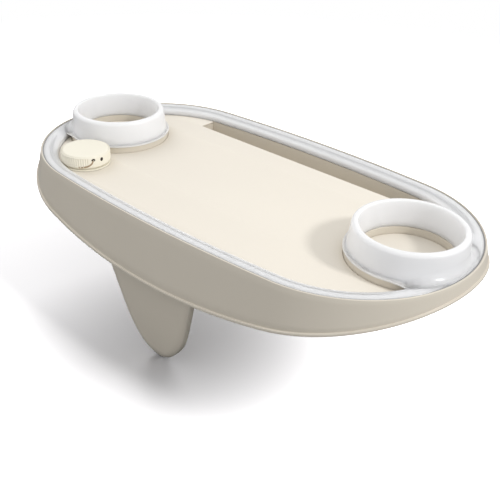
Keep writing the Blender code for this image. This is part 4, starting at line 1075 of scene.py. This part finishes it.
class TRAY_OT_screws(bpy.types.Operator):
    """Makes the screws with their cross recesses."""

    bl_idname = "tray.screws"
    bl_label = "Screws"

    def execute(self, context):
        for name in sorted(frame["nodes"]):
            if "screw" not in name or name.startswith("cover"):
                continue
            low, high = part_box(name)
            place = ((low.x + high.x) / 2, (low.y + high.y) / 2)
            head = (high.x - low.x) / 2
            height, radius = (0.0017, 0.0014) if head > 0.002 else (0.0010, 0.0009)
            blank = put("blank", screw_mesh(name + "_fine", place, low.z + height, head, height,
                                            high.z - low.z - height, radius))
            mesh = cross_cut(blank, place, low.z, head * 0.62, height * 0.62)
            mesh.name = name + "_fine"
            piece(name + "_fine", mesh, "steel", replaces=[name])
        return {"FINISHED"}


# Finishes of what the CAD carries
class TRAY_OT_finishes(bpy.types.Operator):
    """Makes the finishes and gives each CAD node the one of its slot."""

    bl_idname = "tray.finishes"
    bl_label = "Finishes"

    def execute(self, context):
        make_finishes(context.scene.tray_colours)
        slots = {part["node"]: part["material_slot"] for part in frame["record"]["subparts"]}
        for name, node in frame["nodes"].items():
            node.data.materials.clear()
            node.data.materials.append(FINISH[slots[name]])
        return {"FINISHED"}


# Camera, floor and lamps
def solved_camera():
    data = bpy.data.cameras.new("Camera")
    data.lens = CAMERA_LENS
    data.sensor_width = 36.0
    data.clip_start = 0.01
    data.clip_end = 50.0
    turn_x, turn_y, turn_z = CAMERA_TURN
    turned = (Matrix.Rotation(turn_z, 3, "Z") @ Matrix.Rotation(turn_y, 3, "Y")
              @ Matrix.Rotation(turn_x, 3, "X"))
    centre = -(turned.transposed() @ Vector(CAMERA_SHIFT)) + Vector((0, 0, RIM_Z))
    axes = Matrix((turned[0], -turned[1], -turned[2])).transposed()
    made = put("Camera", data)
    made.matrix_world = Matrix.Translation(centre) @ axes.to_4x4()
    bpy.context.scene.camera = made


def lamp(name, azimuth, height, distance, size, power, lit):
    """A round soft lamp aimed at the tray. Lit is the collection that says what it lights."""
    data = bpy.data.lights.new(name, "AREA")
    data.shape = "DISK"
    data.size = size
    data.energy = power
    made = put(name, data)
    turn, rise = radians(azimuth), radians(height)
    made.location = Vector((cos(rise) * cos(turn), cos(rise) * sin(turn), sin(rise))) * distance
    made.rotation_euler = made.location.to_track_quat("Z", "Y").to_euler()
    made.light_linking.receiver_collection = lit


def linking(name, floor, state):
    """A collection that gives lamps the floor alone, or all but the floor."""
    made = bpy.data.collections.new(name)
    made.objects.link(floor)
    made.collection_objects[0].light_linking.link_state = state
    return made


def white_world(level):
    """A surround that lights at one level and looks white to the camera."""
    world = bpy.data.worlds.new("Studio")
    bpy.context.scene.world = world
    paint = Paint(world, "Background", Color=(1.0, 1.0, 1.0, 1.0))
    seen, through = (paint.node("ShaderNodeLightPath", output=ray)
                     for ray in ("Is Camera Ray", "Is Transmission Ray"))
    strength = paint.node("ShaderNodeMapRange", {}, {
        "Value": paint.maths("MAXIMUM", seen, through), "To Min": level, "To Max": 1.0})
    paint.feed(paint.shader.inputs["Strength"], strength)


def pale_floor(open_floor):
    """A floor that shows the tray's shadow, is white further out and is clear from below."""
    shape = bmesh.new()
    bmesh.ops.create_grid(shape, x_segments=1, y_segments=1, size=4.0)
    made = put("Floor", to_mesh("Floor", shape))
    made.location.z = CAD_BOX[0][2] - 0.0008
    paint = Paint(bpy.data.materials.new("Floor"))
    seen = paint.node("ShaderNodeLightPath", output="Is Camera Ray")
    diffuse = paint.node("ShaderNodeBsdfDiffuse", {}, {
        "Color": paint.mix(seen, (0.045, 0.045, 0.045), (0.45, 0.445, 0.45))})
    away = paint.node("ShaderNodeVectorMath", {"operation": "LENGTH"}, {0: paint.place()},
                      output="Value")
    far = paint.node("ShaderNodeMapRange", {"interpolation_type": "SMOOTHSTEP"},
                     {"Value": away, "From Min": open_floor, "From Max": open_floor * 2})
    white = paint.node("ShaderNodeEmission", {}, {"Strength": 1.0})
    above = paint.node("ShaderNodeMixShader", {}, {0: seen * far, 1: diffuse, 2: white})
    below = paint.node("ShaderNodeNewGeometry", output="Backfacing")
    clear = paint.node("ShaderNodeBsdfTransparent")
    both = paint.node("ShaderNodeMixShader", {}, {0: below, 1: above, 2: clear})
    paint.feed(paint.tree.nodes["Material Output"].inputs["Surface"], both)
    made.data.materials.append(paint.owner)
    return made


class TRAY_OT_stage(bpy.types.Operator):
    """Makes the camera, the pale floor, the white surround and the lamps."""

    bl_idname = "tray.stage"
    bl_label = "Stage"

    def execute(self, context):
        levels = context.scene.tray_stage
        solved_camera()
        white_world(levels.ambient)
        floor = pale_floor(levels.open_floor)
        tray_only = linking("Lit by the tray's lamps", floor, "EXCLUDE")
        floor_only = linking("Lit by the floor's lamp", floor, "INCLUDE")
        lamp("Key", 12, 36, 1.5, 0.22, levels.key, tray_only)
        lamp("Left", 180, 45, 1.5, 0.8, levels.left, tray_only)
        lamp("Floor right", 30, 41, 3.0, 2.2, levels.floor, floor_only)
        lamp("Floor back", 135, 25, 3.0, 2.2, levels.floor_back, floor_only)
        context.scene.view_settings.view_transform = "Standard"
        return {"FINISHED"}


class TRAY_PT_sidebar(bpy.types.Panel):
    """Shows the tray's settings and a button for each group of pieces."""

    bl_idname = "TRAY_PT_sidebar"
    bl_label = "Hot tub tray"
    bl_space_type = "VIEW_3D"
    bl_region_type = "UI"
    bl_category = "Tray"

    def draw(self, context):
        scene = context.scene
        for title, group in (("Colours", scene.tray_colours), ("Shape", scene.tray_shape),
                             ("Stage", scene.tray_stage)):
            box = self.layout.box()
            box.label(text=title)
            for name in group.__annotations__:
                box.prop(group, name)
        for step in STEPS:
            self.layout.operator(step.bl_idname)


STEPS = (TRAY_OT_finishes, TRAY_OT_shell, TRAY_OT_deck, TRAY_OT_frame, TRAY_OT_tongue,
         TRAY_OT_light, TRAY_OT_screws, TRAY_OT_stage)
CLASSES = (TrayColours, TrayShape, TrayStage, *STEPS, TRAY_PT_sidebar)


def register():
    for made in CLASSES:
        bpy.utils.register_class(made)
    bpy.types.Scene.tray_colours = PointerProperty(type=TrayColours)
    bpy.types.Scene.tray_shape = PointerProperty(type=TrayShape)
    bpy.types.Scene.tray_stage = PointerProperty(type=TrayStage)


def unregister():
    del bpy.types.Scene.tray_stage
    del bpy.types.Scene.tray_shape
    del bpy.types.Scene.tray_colours
    for made in reversed(CLASSES):
        bpy.utils.unregister_class(made)


def main():
    register()
    bpy.ops.tray.finishes()
    bpy.ops.tray.shell()
    bpy.ops.tray.deck()
    bpy.ops.tray.frame()
    bpy.ops.tray.tongue()
    bpy.ops.tray.light()
    bpy.ops.tray.screws()
    bpy.ops.tray.stage()


if __name__ == "__main__":
    main()
